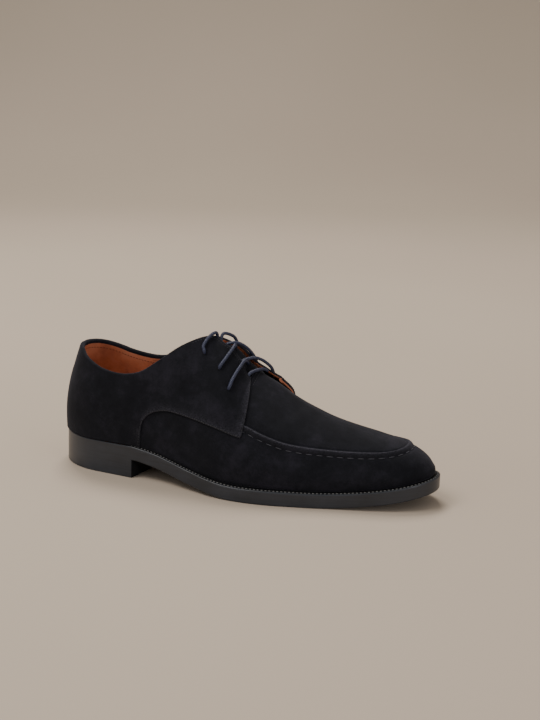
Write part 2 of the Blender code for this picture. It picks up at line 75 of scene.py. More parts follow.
# ---------------------------------------------------------------- tables of the last
@dataclass(frozen=True)
class Table:
    """Short table whose first column is x. Each other column is read as a smooth curve."""

    names: tuple[str, ...]
    rows: tuple[tuple[float, ...], ...]

    def read(self, column: str, x: Array | float) -> Array:
        """Read one column at x.

        Args:
            column: Name of the column.
            x: One place or several.

        Returns:
            The column's values there, held constant past the table's ends.
        """
        knots = np.array([row[0] for row in self.rows])
        values = np.array([row[self.names.index(column)] for row in self.rows])
        before = np.maximum(np.arange(len(knots)) - 1, 0)
        after = np.minimum(np.arange(len(knots)) + 1, len(knots) - 1)
        slopes = (values[after] - values[before]) / (knots[after] - knots[before])
        x = np.clip(np.asarray(x, float), knots[0], knots[-1])
        i = np.clip(np.searchsorted(knots, x, "right") - 1, 0, len(knots) - 2)
        run = knots[i + 1] - knots[i]
        u = (x - knots[i]) / run
        return (values[i] * (1 + 2 * u) * (1 - u) ** 2 + values[i + 1] * u * u * (3 - 2 * u)
                + slopes[i] * run * u * (1 - u) ** 2 - slopes[i + 1] * run * u * u * (1 - u))


SOLE_TABLE = Table(("x", "swing", "half", "welt"), (
    (0.0, 4.6, 34.0, 0.8),
    (33.0, 0.0, 34.0, 0.8),
    (52.0, -2.6, 34.0, 0.8),
    (72.0, -5.4, 33.8, 1.2),
    (95.0, -9.4, 32.3, 2.6),
    (120.0, -12.6, 36.5, 3.8),
    (150.0, -12.2, 45.0, 4.2),
    (180.0, -7.4, 50.0, 4.4),
    (210.0, -1.8, 49.2, 4.4),
    (240.0, 0.5, 42.9, 4.4),
    (262.0, 0.5, 37.6, 4.5),
    (280.0, 0.6, 36.3, 4.6),
    (303.0, 0.7, 35.5, 4.6),
))
CREST_TABLE = Table(("x", "height", "ridge", "rise", "spread", "inner_spread", "swell"), (
    (0.0, 134.0, 0.0, 2.2, 1.2, 1.2, 1.6),
    (45.0, 138.0, 0.0, 2.2, 1.2, 1.2, 1.0),
    (75.0, 139.0, 0.0, 2.2, 1.2, 1.2, 0.8),
    (100.0, 131.0, -1.0, 2.3, 1.2, 1.3, 1.2),
    (127.0, 114.7, -1.5, 2.4, 1.2, 1.5, 1.5),
    (141.0, 106.0, -1.5, 2.5, 1.2, 1.7, 1.5),
    (157.0, 87.5, -0.5, 2.5, 1.25, 1.8, 1.5),
    (176.0, 75.0, 1.0, 2.5, 1.35, 1.8, 1.5),
    (196.0, 64.6, 2.0, 2.5, 1.5, 1.75, 1.5),
    (220.0, 55.1, 2.0, 2.5, 1.75, 1.85, 1.4),
    (240.0, 50.2, 1.5, 2.7, 2.1, 2.1, 1.2),
    (252.0, 47.8, 1.2, 2.8, 2.4, 2.4, 1.0),
    (262.0, 46.0, 1.0, 2.9, 2.6, 2.6, 1.0),
))
TOPLINE_TABLE = Table(("x", "outer", "inner"), (
    (0.0, 93.5, 93.5),
    (9.7, 91.6, 92.2),
    (19.0, 88.0, 90.5),
    (31.0, 84.5, 88.0),
    (44.0, 80.8, 85.3),
    (58.0, 79.4, 83.6),
    (70.0, 81.2, 84.0),
    (78.0, 84.6, 86.5),
    (91.0, 94.2, 95.0),
    (104.0, 103.9, 102.6),
    (117.0, 110.2, 107.2),
    (126.0, 111.0, 106.8),
    (133.0, 107.2, 104.6),
    (141.0, 102.0, 101.0),
    (149.0, 93.0, 93.6),
    (157.0, 83.0, 83.6),
))
# Height of the quarters' lower edge, up to their front corners.
QUARTER_EDGE = Table(("x", "height"), (
    (60.0, 38.0), (79.0, 38.0), (79.6, 42.6), (81.2, 47.0), (84.0, 50.6), (88.0, 53.4),
    (93.0, 55.2), (102.0, 56.5), (120.0, 54.8), (141.0, 51.3), (149.0, 49.2), (157.0, 46.8),
    (165.0, 45.2), (175.0, 44.4),
))
# Height of the apron seam, from under the quarters to the toe's tip.
APRON_SEAM = Table(("x", "height"), (
    (60.0, 42.0), (78.0, 42.0), (84.0, 51.5), (92.0, 56.0), (102.0, 57.3), (120.0, 56.3),
    (141.0, 55.6), (157.0, 54.8), (165.0, 52.8), (177.0, 48.3), (193.0, 43.5), (208.0, 41.1),
    (222.0, 40.0), (236.0, 39.6), (250.0, 39.7), (262.0, 40.1), (271.0, 40.6), (286.5, 41.6),
    (294.4, 42.0), (298.4, 42.2),
))
# Room between the upper's wall and the tongue.
TONGUE_DEPTH = Table(("x", "depth"), (
    (130.0, 6.6), (143.0, 4.8), (150.0, 3.8), (158.0, 1.8), (166.0, 1.2), (174.0, 1.2),
))


def smoothstep(value: Array | float) -> Array:
    """Rise smoothly from 0 to 1 as value does."""
    value = np.clip(value, 0.0, 1.0)
    return value * value * (3 - 2 * value)


def unit(vectors: Array) -> Array:
    """Scale vectors to a length of one."""
    return vectors / np.maximum(np.linalg.norm(vectors, axis=-1, keepdims=True), 1e-9)


def level(value: float) -> Callable[[Array], Array]:
    """Function of x that has one value everywhere."""
    return lambda x: value + 0.0 * x


def lengths_along(line: Array) -> Array:
    """Length of a line up to each of its points."""
    steps = np.linalg.norm(np.diff(line, axis=0), axis=1)
    return np.concatenate([[0.0], np.cumsum(steps)])


@dataclass(frozen=True)
class Section:
    """One section of the last, from its feather line up to the top line."""

    points: Array
    lengths: Array
    centre: Array

    @property
    def total(self) -> float:
        """Length of the section up to the top line."""
        return float(self.lengths[-1])

    def at(self, lengths: Array) -> Array:
        """Points at these lengths along the section."""
        return np.stack([np.interp(lengths, self.lengths, self.points[:, axis])
                         for axis in range(3)], axis=-1)

    def length_at_height(self, height: float) -> float:
        """Length along the section at which it reaches a height."""
        return float(np.interp(height, self.points[:, 2], self.lengths))

    def length_at_reach(self, reach: float) -> float:
        """Length at which the section comes this close to its top line, seen from above."""
        distance = np.linalg.norm(self.points[:, :2] - self.centre, axis=1)
        return float(np.interp(-reach, -distance, self.lengths))


@dataclass(frozen=True)
class Last:
    """The last that every piece of the upper is worked out from, and the sole's outline."""

    length: float = 303.0
    heel_round: float = 39.0
    toe_round: float = 53.0
    heel_pole: float = 40.0
    toe_pole: float = 262.0
    throat: float = 157.0
    heel_height: float = 14.2
    heel_breast: float = 72.0
    ball_back: float = 168.0
    ball_front: float = 212.0
    toe_spring: float = 12.0
    outsole: float = 7.2
    welt: float = 3.2
    gap: float = 0.3
    lift: float = 0.4
    swell_share: float = 0.45
    samples: int = 260

    def half_width(self, x: Array, inset: float) -> Array:
        """Half the sole's width at x, with its outline moved in by inset."""
        width = SOLE_TABLE.read("half", x) - inset
        heel = np.clip((x - inset) / (self.heel_round - inset), 0.0, 1.0)
        toe = np.clip((self.length - inset - x) / (self.toe_round - inset), 0.0, 1.0)
        return width * np.sqrt((1 - (1 - heel) ** 2) * (1 - (1 - toe) ** 2))

    def edge(self, x: Array, side: Side, inset: float) -> Array:
        """y of the sole's outline, moved in by inset, on one side."""
        return SOLE_TABLE.read("swing", x) + side.value * self.half_width(x, inset)

    def tread(self, x: Array) -> Array:
        """Height of the outsole's underside."""
        x = np.asarray(x, float)
        seat = self.heel_height + self.gap
        u = np.clip((x - self.heel_breast) / (self.ball_back - self.heel_breast), 0.0, 1.0)
        spring = np.clip((x - self.ball_front) / (self.length - self.ball_front), 0.0, 1.0)
        return seat * (1 - u) ** 2 * (1 + 1.1 * u) + self.toe_spring * spring ** 2

    def feather(self, x: Array) -> Array:
        """Height at which the upper meets the welt."""
        return self.tread(x) + self.outsole + self.welt + 2 * self.gap

    def section(self, x: float, side: Side) -> Section:
        """Work out the last's section whose foot is at x.

        Args:
            x: Distance of the section's foot from the back of the heel.
            side: Side of the foot.

        Returns:
            The section, as many points with the length up to each.
        """
        pole = min(max(x, self.heel_pole), self.toe_pole)
        inset = float(SOLE_TABLE.read("welt", x))
        foot = np.array([x, float(self.edge(x, side, inset)), float(self.feather(x)) + self.lift])
        centre = np.array([pole, float(CREST_TABLE.read("ridge", pole))])
        spread_name = "spread" if side is Side.OUTER else "inner_spread"
        top, rise, spread, swell = (float(CREST_TABLE.read(name, pole))
                                    for name in ("height", "rise", spread_name, "swell"))
        before, last = CREST_TABLE.rows[-2:]
        tilt = (last[1] - before[1]) / (last[0] - before[0])
        turn = (1 - np.cos(np.pi * np.linspace(0.0, 1.0, self.samples))) / 2 * np.pi / 2
        across = np.maximum(np.cos(turn), 0.0) ** (2 / spread)
        up = np.maximum(np.sin(turn), 0.0) ** (2 / rise)
        reach = np.linalg.norm(foot[:2] - centre)
        scale = across + swell * np.sin(np.pi * np.minimum(up / self.swell_share, 1.0)) / reach
        plan = centre + (foot[:2] - centre) * scale[:, None]
        ahead = np.maximum(plan[:, 0] - self.toe_pole, 0.0)
        height = foot[2] + up * (top - foot[2]) + tilt * up * ahead
        points = np.column_stack([plan, height])
        return Section(points, lengths_along(points), centre)

    def heel_stations(self, count: int) -> Array:
        """x of the sections' feet around the heel, from the back to the pole."""
        turn = np.linspace(0.0, np.pi / 2, count)
        back = SOLE_TABLE.rows[0][3]
        return self.heel_pole - (self.heel_pole - back) * np.cos(turn)

    def toe_stations(self, count: int) -> Array:
        """x of the sections' feet around the toe, from the pole to the tip."""
        turn = np.linspace(0.0, np.pi / 2, count)
        tip = self.length - SOLE_TABLE.rows[-1][3]
        return self.toe_pole + (tip - self.toe_pole) * np.sin(turn)

    def outline(self, inset: Callable = np.zeros_like) -> Array:
        """Work out the sole's outline.

        Args:
            inset: Distance in from the sole's edge, as a function of x.

        Returns:
            Points (x, y) out along the outer side and back along the inner one.
        """
        back, tip = (float(inset(np.array([end]))[0]) for end in (0.0, self.length))
        turn = np.linspace(0.0, np.pi / 2, 32)
        toe_start = self.length - self.toe_round
        x = np.concatenate([
            self.heel_round - (self.heel_round - back) * np.cos(turn),
            np.linspace(self.heel_round, toe_start, 86)[1:-1],
            toe_start + (self.toe_round - tip) * np.sin(turn)])
        outer = np.column_stack([x, self.edge(x, Side.OUTER, inset(x))])
        inner = np.column_stack([x, self.edge(x, Side.INNER, inset(x))])
        return np.concatenate([outer, inner[-2:0:-1]])


# ---------------------------------------------------------------- the frame and its meshes
@dataclass(frozen=True)
class Stand:
    """Where the shoe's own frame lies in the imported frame."""

    back: float
    across: float

    @classmethod
    def of(cls, last: Last) -> "Stand":
        """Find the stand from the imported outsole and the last's outline."""
        low, high = (np.array(corner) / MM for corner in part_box("outsole"))
        outline = last.outline()
        middle = (outline[:, 1].min() + outline[:, 1].max()) / 2
        return cls(-low[0], middle - (low[1] + high[1]) / 2)

    def world(self, points: Array) -> Array:
        """Turn points from the shoe's millimetres into the frame's metres."""
        return (np.asarray(points, float) - (self.back, self.across, 0.0)) * MM

    def shoe(self, points: Array) -> Array:
        """Turn points from the frame's metres into the shoe's millimetres."""
        return np.asarray(points, float) / MM + (self.back, self.across, 0.0)


@dataclass
class Surface:
    """Surface of a finished piece, for what is laid on it."""

    stand: Stand
    tree: BVHTree

    @classmethod
    def of(cls, stand: Stand, piece: Piece) -> "Surface":
        """Read the surface of a piece as its modifiers leave it."""
        return cls(stand, BVHTree.FromObject(piece, bpy.context.evaluated_depsgraph_get()))

    def lay(self, points: Array, lift: float = 0.0) -> tuple[Array, Array]:
        """Lay points on the surface.

        Args:
            points: Points near it, in the shoe's millimetres.
            lift: How far above the surface they come to lie.

        Returns:
            The points on the surface, and the surface's normals there.
        """
        found = [self.tree.find_nearest(Vector(point)) for point in self.stand.world(points)]
        normals = unit(np.array([tuple(hit[1]) for hit in found]))
        return self.stand.shoe([tuple(hit[0]) for hit in found]) + normals * lift, normals

    def beside(self, line: Array, distance: float, lift: float = 0.0) -> Array:
        """Lay a line on the surface beside another, to the left of its run seen from outside."""
        on, normals = self.lay(line)
        run = unit(np.gradient(on, axis=0))
        return self.lay(on + unit(np.cross(normals, run)) * distance, lift)[0]


def put_in_scene(name: str, data: bpy.types.ID) -> bpy.types.Object:
    """Make an object of a mesh, a light or a camera and link it to the scene."""
    placed = bpy.data.objects.new(name, data)
    bpy.context.scene.collection.objects.link(placed)
    return placed


@dataclass
class Workshop:
    """Makes mesh objects in the frame from points in the shoe's millimetres."""

    stand: Stand

    def mesh(self, name: str, points: Array, faces: Sequence[Sequence[int]],
             materials: Sequence[Material], slots: Sequence[int] | None = None,
             uvs: Array | None = None, wear_and_highlight: Array | None = None,
             sharp: float = 50.0) -> Piece:
        """Make a mesh object.

        Args:
            name: Name of the piece.
            points: Its points, in the shoe's millimetres.
            faces: Point numbers of each face.
            materials: Materials of the piece.
            slots: Material number of each face.
            uvs: For each point, its place on the piece's own map, in millimetres.
            wear_and_highlight: For each point, from 0 to 1, how much lighter its nap is drawn:
                wear, and painted highlight on ridges and rims.
            sharp: Edges sharper than this angle in degrees are shaded as edges.

        Returns:
            The object, linked to the scene.
        """
        mesh = bpy.data.meshes.new(name)
        mesh.from_pydata(self.stand.world(points).tolist(), [], [list(face) for face in faces])
        for material in materials:
            mesh.materials.append(material)
        if slots is not None:
            mesh.polygons.foreach_set("material_index", list(slots))
        if uvs is not None:
            layer = mesh.uv_layers.new(name="along")
            loops = np.zeros(len(mesh.loops), int)
            mesh.loops.foreach_get("vertex_index", loops)
            layer.data.foreach_set("uv", np.asarray(uvs, float)[loops].ravel())
        # Lighter nap from wear, and painted highlight along the apron seam's crown and the
        # facings' rims.
        if wear_and_highlight is not None:
            rubbed_and_highlight = mesh.attributes.new("wear_and_highlight", "FLOAT", "POINT")
            rubbed_and_highlight.data.foreach_set("value", np.asarray(wear_and_highlight, float).ravel())
        mesh.validate()
        mesh.shade_smooth()
        mesh.set_sharp_from_angle(angle=math.radians(sharp))
        return put_in_scene(name, mesh)

    def tidy(self, piece: Piece, sharp: float = 50.0, distance: float = 0.004) -> None:
        """Drop a piece's loose points, merge those that lie on each other, and shade it anew.

        Args:
            piece: The piece.
            sharp: Edges sharper than this angle in degrees are shaded as edges.
            distance: Points closer than this, in millimetres, are merged.
        """
        bm = bmesh.new()
        bm.from_mesh(piece.data)
        bmesh.ops.delete(bm, geom=[v for v in bm.verts if not v.link_faces], context="VERTS")
        bmesh.ops.remove_doubles(bm, verts=bm.verts, dist=distance * MM)
        bm.to_mesh(piece.data)
        bm.free()
        piece.data.shade_smooth()
        piece.data.set_sharp_from_angle(angle=math.radians(sharp))

    def add_wall(self, piece: Piece, thickness: float) -> None:
        """Give a skin its thickness inwards, with its second material on the inside."""
        wall = piece.modifiers.new("wall", "SOLIDIFY")
        wall.thickness = thickness * MM
        wall.offset = -1
        wall.material_offset = 1

    def finish(self, piece: Piece, slot: str, *nodes: str) -> Piece:
        """Hand a piece over to the frame: attach it to its body and hide the nodes it stands for.
        """
        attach(piece, BODY)
        if nodes:
            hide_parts(*nodes)
        log.info("%s: %d faces", piece.name, len(piece.data.polygons))
        return piece


def grid_faces(columns: int, rows: int, closed: bool = False,
               keep: Callable[[int, int], bool] | None = None) -> list[tuple[int, int, int, int]]:
    """List the faces of a grid whose points are numbered down its columns.

    Args:
        columns: Number of columns.
        rows: Number of rows.
        closed: Whether the last column joins the first.
        keep: Says for a column and a row whether the face that starts there is kept.

    Returns:
        Four point numbers for each face.
    """
    faces = []
    for c in range(columns if closed else columns - 1):
        after = (c + 1) % columns
        for r in range(rows - 1):
            if keep is None or keep(c, r):
                a, b = c * rows + r, after * rows + r
                faces.append((a, a + 1, b + 1, b))
    return faces


def grid_normals(points: Array, closed: bool = False) -> Array:
    """Work out the normals of a grid, to the right of the way its columns run.

    Args:
        points: Its points (columns, rows, 3).
        closed: Whether the last column joins the first.

    Returns:
        One normal for each point.
    """
    if closed:
        padded = np.concatenate([points[-1:], points, points[:1]])
        along = np.gradient(padded, axis=0)[1:-1]
    else:
        along = np.gradient(points, axis=0)
    up = np.gradient(points, axis=1)
    return unit(np.cross(up, along))


# ---------------------------------------------------------------- finishes
def linear(code: str) -> tuple[float, float, float, float]:
    """Turn an sRGB hex value into a linear colour."""
    channels = [int(code[i:i + 2], 16) / 255 for i in (0, 2, 4)]
    values = [c / 12.92 if c <= 0.04045 else ((c + 0.055) / 1.055) ** 2.4 for c in channels]
    return (*values, 1.0)


def set_inputs(tree: bpy.types.NodeTree, node: bpy.types.Node, inputs: dict) -> None:
    """Link a node's inputs to the sockets given for them, or set their values.

    Args:
        tree: The node's tree.
        node: The node.
        inputs: Values or sockets, by the input's name or number.
    """
    for key, value in inputs.items():
        if isinstance(value, bpy.types.NodeSocket):
            tree.links.new(value, node.inputs[key])
        else:
            node.inputs[key].default_value = value


def add_node(tree: bpy.types.NodeTree, kind: str, inputs: dict | None = None,
             stops: Sequence[tuple[float, str]] = (), **settings: object) -> bpy.types.Node:
    """Add a node to a tree.

    Args:
        tree: Tree of a material or of Geometry Nodes.
        kind: The node's type.
        inputs: Values or sockets for its inputs, by name or number.
        stops: Position and hex value of each stop, where the node is a colour ramp.
        settings: Its other settings.

    Returns:
        The node.
    """
    node = tree.nodes.new(kind)
    for name, value in settings.items():
        setattr(node, name, value)
    set_inputs(tree, node, inputs or {})
    if stops:
        elements = node.color_ramp.elements
        while len(elements) < len(stops):
            elements.new(0.5)
        for element, (position, code) in zip(elements, stops):
            element.position = position
            element.color = linear(code)
    return node


def new_material(name: str) -> tuple[Material, bpy.types.NodeTree, bpy.types.Node]:
    """Make a material and give it, its tree and its Principled shader."""
    material = bpy.data.materials.new(name)
    material.use_nodes = True
    tree = material.node_tree
    return material, tree, tree.nodes["Principled BSDF"]


def frequency(size: float) -> float:
    """Scale of a texture on metre coordinates whose grain is so many millimetres wide."""
    return 1000.0 / size


@dataclass(frozen=True)
class Suede:
    """Split calf, buffed and dyed: short nap, no gloss, patches where it was brushed up."""

    name: str = "midnight suede"
    dark: str = "0c0d11"
    middle: str = "14151a"
    light: str = "24232b"
    # Colour of nap lightened by wear, also used as painted highlight on the apron seam's crown and
    # the facings' rims.
    rubbed_and_highlight: str = "565560"
    patch: float = 34.0
    mottle: float = 7.0
    nap: float = 0.9  # real nap is finer, and is drawn as coarse as it needs to show
    grain_depth: float = 0.22
    sheen: float = 0.13
    sheen_tint: str = "a9a9b8"

    def build(self) -> Material:
        """Build the material."""
        material, tree, shader = new_material(self.name)
        place = add_node(tree, "ShaderNodeTexCoord").outputs["Object"]
        patches = add_node(tree, "ShaderNodeTexNoise", {
            "Vector": place, "Scale": frequency(self.patch), "Detail": 3.0, "Roughness": 0.55,
            "Distortion": 0.6})
        mottle = add_node(tree, "ShaderNodeTexNoise", {
            "Vector": place, "Scale": frequency(self.mottle), "Detail": 5.0, "Roughness": 0.7})
        brushed = add_node(tree, "ShaderNodeMix", {
            0: 0.42, "A": patches.outputs["Fac"], "B": mottle.outputs["Fac"]})
        nap = add_node(tree, "ShaderNodeTexNoise", {
            "Vector": place, "Scale": frequency(self.nap), "Detail": 4.0, "Roughness": 0.75})
        both = add_node(tree, "ShaderNodeMix", {
            0: 0.22, "A": brushed.outputs[0], "B": nap.outputs["Fac"]})
        colour = add_node(tree, "ShaderNodeValToRGB", {"Fac": both.outputs[0]}, [
            (0.36, self.dark), (0.5, self.middle), (0.66, self.light)])
        # The point attribute mixes in the lighter colour: wear, and painted highlight on ridges
        # and rims.
        wear_and_highlight = add_node(tree, "ShaderNodeAttribute", attribute_name="wear_and_highlight").outputs["Fac"]
        tufts = add_node(tree, "ShaderNodeMapRange", {
            "Value": nap.outputs["Fac"], "From Min": 0.38, "From Max": 0.66})
        fuzz_and_highlight = add_node(tree, "ShaderNodeMath", {0: wear_and_highlight, 1: tufts.outputs["Result"]},
                        operation="MULTIPLY")
        # Inputs 6 and 7 of a mix of colours are the two colours.
        rubbed_and_highlight = add_node(tree, "ShaderNodeMix", {
            "Factor": fuzz_and_highlight.outputs["Value"], 6: colour.outputs["Color"],
            7: linear(self.rubbed_and_highlight)}, data_type="RGBA")
        bump = add_node(tree, "ShaderNodeBump", {
            "Strength": 0.55, "Distance": self.grain_depth * MM, "Height": nap.outputs["Fac"]})
        soft = add_node(tree, "ShaderNodeBump", {
            "Strength": 0.35, "Distance": 3 * self.grain_depth * MM,
            "Height": mottle.outputs["Fac"], "Normal": bump.outputs["Normal"]})
        set_inputs(tree, shader, {
            "Base Color": rubbed_and_highlight.outputs[2], "Normal": soft.outputs["Normal"], "Roughness": 0.92,
            "Specular IOR Level": 0.12, "Sheen Weight": self.sheen, "Sheen Roughness": 0.45,
            "Sheen Tint": linear(self.sheen_tint)})
        return material


@dataclass(frozen=True)
class Lining:
    """Vegetable-tanned calf, smooth side out: warm tan, fine pores, a low wax gloss."""

    name: str = "tan calf lining"
    dark: str = "96563f"
    middle: str = "b87050"
    light: str = "cb886a"
    cloud: float = 22.0
    pore: float = 0.8  # real pores are finer, and are drawn as coarse as they need to show

    def build(self) -> Material:
        """Build the material."""
        material, tree, shader = new_material(self.name)
        place = add_node(tree, "ShaderNodeTexCoord").outputs["Object"]
        clouds = add_node(tree, "ShaderNodeTexNoise", {
            "Vector": place, "Scale": frequency(self.cloud), "Detail": 4.0, "Roughness": 0.6})
        pores = add_node(tree, "ShaderNodeTexVoronoi", {
            "Vector": place, "Scale": frequency(self.pore)})
        colour = add_node(tree, "ShaderNodeValToRGB", {"Fac": clouds.outputs["Fac"]}, [
            (0.28, self.dark), (0.52, self.middle), (0.78, self.light)])
        bump = add_node(tree, "ShaderNodeBump", {
            "Strength": 0.35, "Distance": 0.08 * MM, "Height": pores.outputs["Distance"]})
        set_inputs(tree, shader, {
            "Base Color": colour.outputs["Color"], "Normal": bump.outputs["Normal"],
            "Roughness": 0.52, "Specular IOR Level": 0.35})
        return material


@dataclass(frozen=True)
class SoleLeather:
    """Bend leather, trimmed, blacked and ironed with wax: dense, faint layers along the edge."""

    name: str = "blacked sole leather"
    dark: str = "1e2126"
    light: str = "2f333b"
    layer: float = 1.1
    cloud: float = 30.0
    roughness: float = 0.34
    specular: float = 0.45

    def build(self) -> Material:
        """Build the material."""
        material, tree, shader = new_material(self.name)
        place = add_node(tree, "ShaderNodeTexCoord").outputs["Object"]
        flat = add_node(tree, "ShaderNodeMapping", {"Vector": place, "Scale": (0.04, 0.04, 1.0)})
        layers = add_node(tree, "ShaderNodeTexNoise", {
            "Vector": flat.outputs["Vector"], "Scale": frequency(self.layer), "Detail": 3.0,
            "Roughness": 0.6})
        clouds = add_node(tree, "ShaderNodeTexNoise", {
            "Vector": place, "Scale": frequency(self.cloud), "Detail": 4.0, "Roughness": 0.6})
        mixed = add_node(tree, "ShaderNodeMix", {
            0: 0.6, "A": layers.outputs["Fac"], "B": clouds.outputs["Fac"]})
        colour = add_node(tree, "ShaderNodeValToRGB", {"Fac": mixed.outputs[0]}, [
            (0.3, self.dark), (0.7, self.light)])
        bump = add_node(tree, "ShaderNodeBump", {
            "Strength": 0.3, "Distance": 0.1 * MM, "Height": layers.outputs["Fac"]})
        set_inputs(tree, shader, {
            "Base Color": colour.outputs["Color"], "Normal": bump.outputs["Normal"],
            "Roughness": self.roughness, "Specular IOR Level": self.specular})
        return material


@dataclass(frozen=True)
class WaxedLace:
    """Braided cotton lace, waxed and slightly shiny: a fine diagonal plait, lighter on its crowns
    and darker in its grooves as painted highlight and painted shade.
    """

    name: str = "waxed cotton lace"
    dark: str = "111422"
    light: str = "333953"
    plait: float = 1.1
    slant: float = 0.95
    wave_length: float = 0.31  # that of a wave texture whose scale is one

    def build(self) -> Material:
        """Build the material, which reads the strand's own map."""
        material, tree, shader = new_material(self.name)
        place = add_node(tree, "ShaderNodeUVMap", uv_map="along").outputs["UV"]
        waves = []
        for turn in (self.slant, -self.slant):
            turned = add_node(tree, "ShaderNodeMapping", {
                "Vector": place, "Rotation": (0.0, 0.0, turn)})
            waves.append(add_node(tree, "ShaderNodeTexWave", {
                "Vector": turned.outputs["Vector"], "Scale": self.wave_length * 2 / self.plait,
                "Distortion": 0.4, "Detail": 1.0}, wave_profile="SIN"))
        plait = add_node(tree, "ShaderNodeMath", {
            0: waves[0].outputs["Fac"], 1: waves[1].outputs["Fac"]}, operation="MAXIMUM")
        # Colour follows the plait's height: painted highlight on the crowns, painted shade in the
        # grooves.
        colour = add_node(tree, "ShaderNodeValToRGB", {"Fac": plait.outputs["Value"]}, [
            (0.2, self.dark), (0.9, self.light)])
        bump = add_node(tree, "ShaderNodeBump", {
            "Strength": 0.6, "Distance": 0.15 * MM, "Height": plait.outputs["Value"]})
        set_inputs(tree, shader, {
            "Base Color": colour.outputs["Color"], "Normal": bump.outputs["Normal"],
            "Roughness": 0.5, "Specular IOR Level": 0.4})
        return material


@dataclass(frozen=True)
class Thread:
    """Twisted polyester thread: matt, its twist shows as a fine mottle."""

    name: str
    dark: str
    light: str
    twist: float = 0.5

    def build(self) -> Material:
        """Build the material."""
        material, tree, shader = new_material(self.name)
        place = add_node(tree, "ShaderNodeTexCoord").outputs["Object"]
        twist = add_node(tree, "ShaderNodeTexNoise", {
            "Vector": place, "Scale": frequency(self.twist), "Detail": 2.0})
        colour = add_node(tree, "ShaderNodeValToRGB", {"Fac": twist.outputs["Fac"]}, [
            (0.3, self.dark), (0.7, self.light)])
        set_inputs(tree, shader, {"Base Color": colour.outputs["Color"], "Roughness": 0.75})
        return material


@dataclass(frozen=True)
class Plaster:
    """Painted floor and wall in one: pale, matt, hardly mottled."""

    name: str = "pale matt floor"
    dark: str = "b4a798"
    light: str = "baad9e"
    cloud: float = 900.0

    def build(self) -> Material:
        """Build the material."""
        material, tree, shader = new_material(self.name)
        place = add_node(tree, "ShaderNodeTexCoord").outputs["Object"]
        clouds = add_node(tree, "ShaderNodeTexNoise", {
            "Vector": place, "Scale": frequency(self.cloud), "Detail": 2.0})
        colour = add_node(tree, "ShaderNodeValToRGB", {"Fac": clouds.outputs["Fac"]}, [
            (0.3, self.dark), (0.7, self.light)])
        set_inputs(tree, shader, {
            "Base Color": colour.outputs["Color"], "Roughness": 0.9, "Specular IOR Level": 0.1})
        return material


@dataclass
class Finishes:
    """All the shoe's materials."""

    suede: Material = field(default_factory=Suede().build)
    lining: Material = field(default_factory=Lining().build)
    sole: Material = field(default_factory=SoleLeather().build)
    tread: Material = field(default_factory=SoleLeather(
        name="blacked sole bottom", dark="0e0f12", light="17181c", layer=6.0, roughness=0.7,
        specular=0.2).build)
    lace: Material = field(default_factory=WaxedLace().build)
    fine_thread: Material = field(default_factory=Thread(
        "charcoal thread", "17181d", "2b2c33").build)
    apron_thread: Material = field(default_factory=Thread(
        "grey hand-sewing thread", "26272d", "45464f").build)
    welt_thread: Material = field(default_factory=Thread(
        "grey welt thread", "484848", "6c6c6b").build)
    lining_thread: Material = field(default_factory=Thread(
        "brown lining thread", "4c2214", "6e3722").build)


# ---------------------------------------------------------------- the upper
@dataclass(frozen=True)
class Front:
    """Front edge of a quarter: x at its foot and top, how far it bows, the throat's half width."""

    foot: float
    bulge: float
    top: float
    reach: float
    knee: float = 2.5
    knee_share: float = 0.2

    def x(self, above: Array, total: float) -> Array:
        """x of the front edge at a distance above the lower edge, of a total up to the facing."""
        up = np.clip(above, 0.0, total)
        below = self.knee_share * up / self.knee
        beyond = self.knee_share + (1 - self.knee_share) * (up - self.knee) / (total - self.knee)
        share = np.where(up < self.knee, below, beyond)
        return self.foot + (self.top - self.foot) * share + self.bulge * 4 * share * (1 - share)


FRONTS = {
    Side.OUTER: Front(162.6, 3.0, 157.5, 12.3),
    Side.INNER: Front(170.0, 9.5, 171.0, 9.5),
}


@dataclass(frozen=True)
class Crease:
    """Soft trough (depth above 0) or ridge (below 0) between two places on the surface."""

    start: tuple[float, float, float]
    end: tuple[float, float, float]
    depth: float
    width: float

    def lift(self, points: Array) -> Array:
        """How far the crease moves points out along their normals."""
        start, end = np.array(self.start), np.array(self.end)
        run = end - start
        share = np.clip(((points - start) @ run) / (run @ run), 0.0, 1.0)
        away = np.linalg.norm(points - (start + share[..., None] * run), axis=-1)
        fade = np.sin(np.pi * np.clip(share * 0.86 + 0.07, 0.0, 1.0))
        return -self.depth * fade * np.exp(-(away / self.width) ** 2)


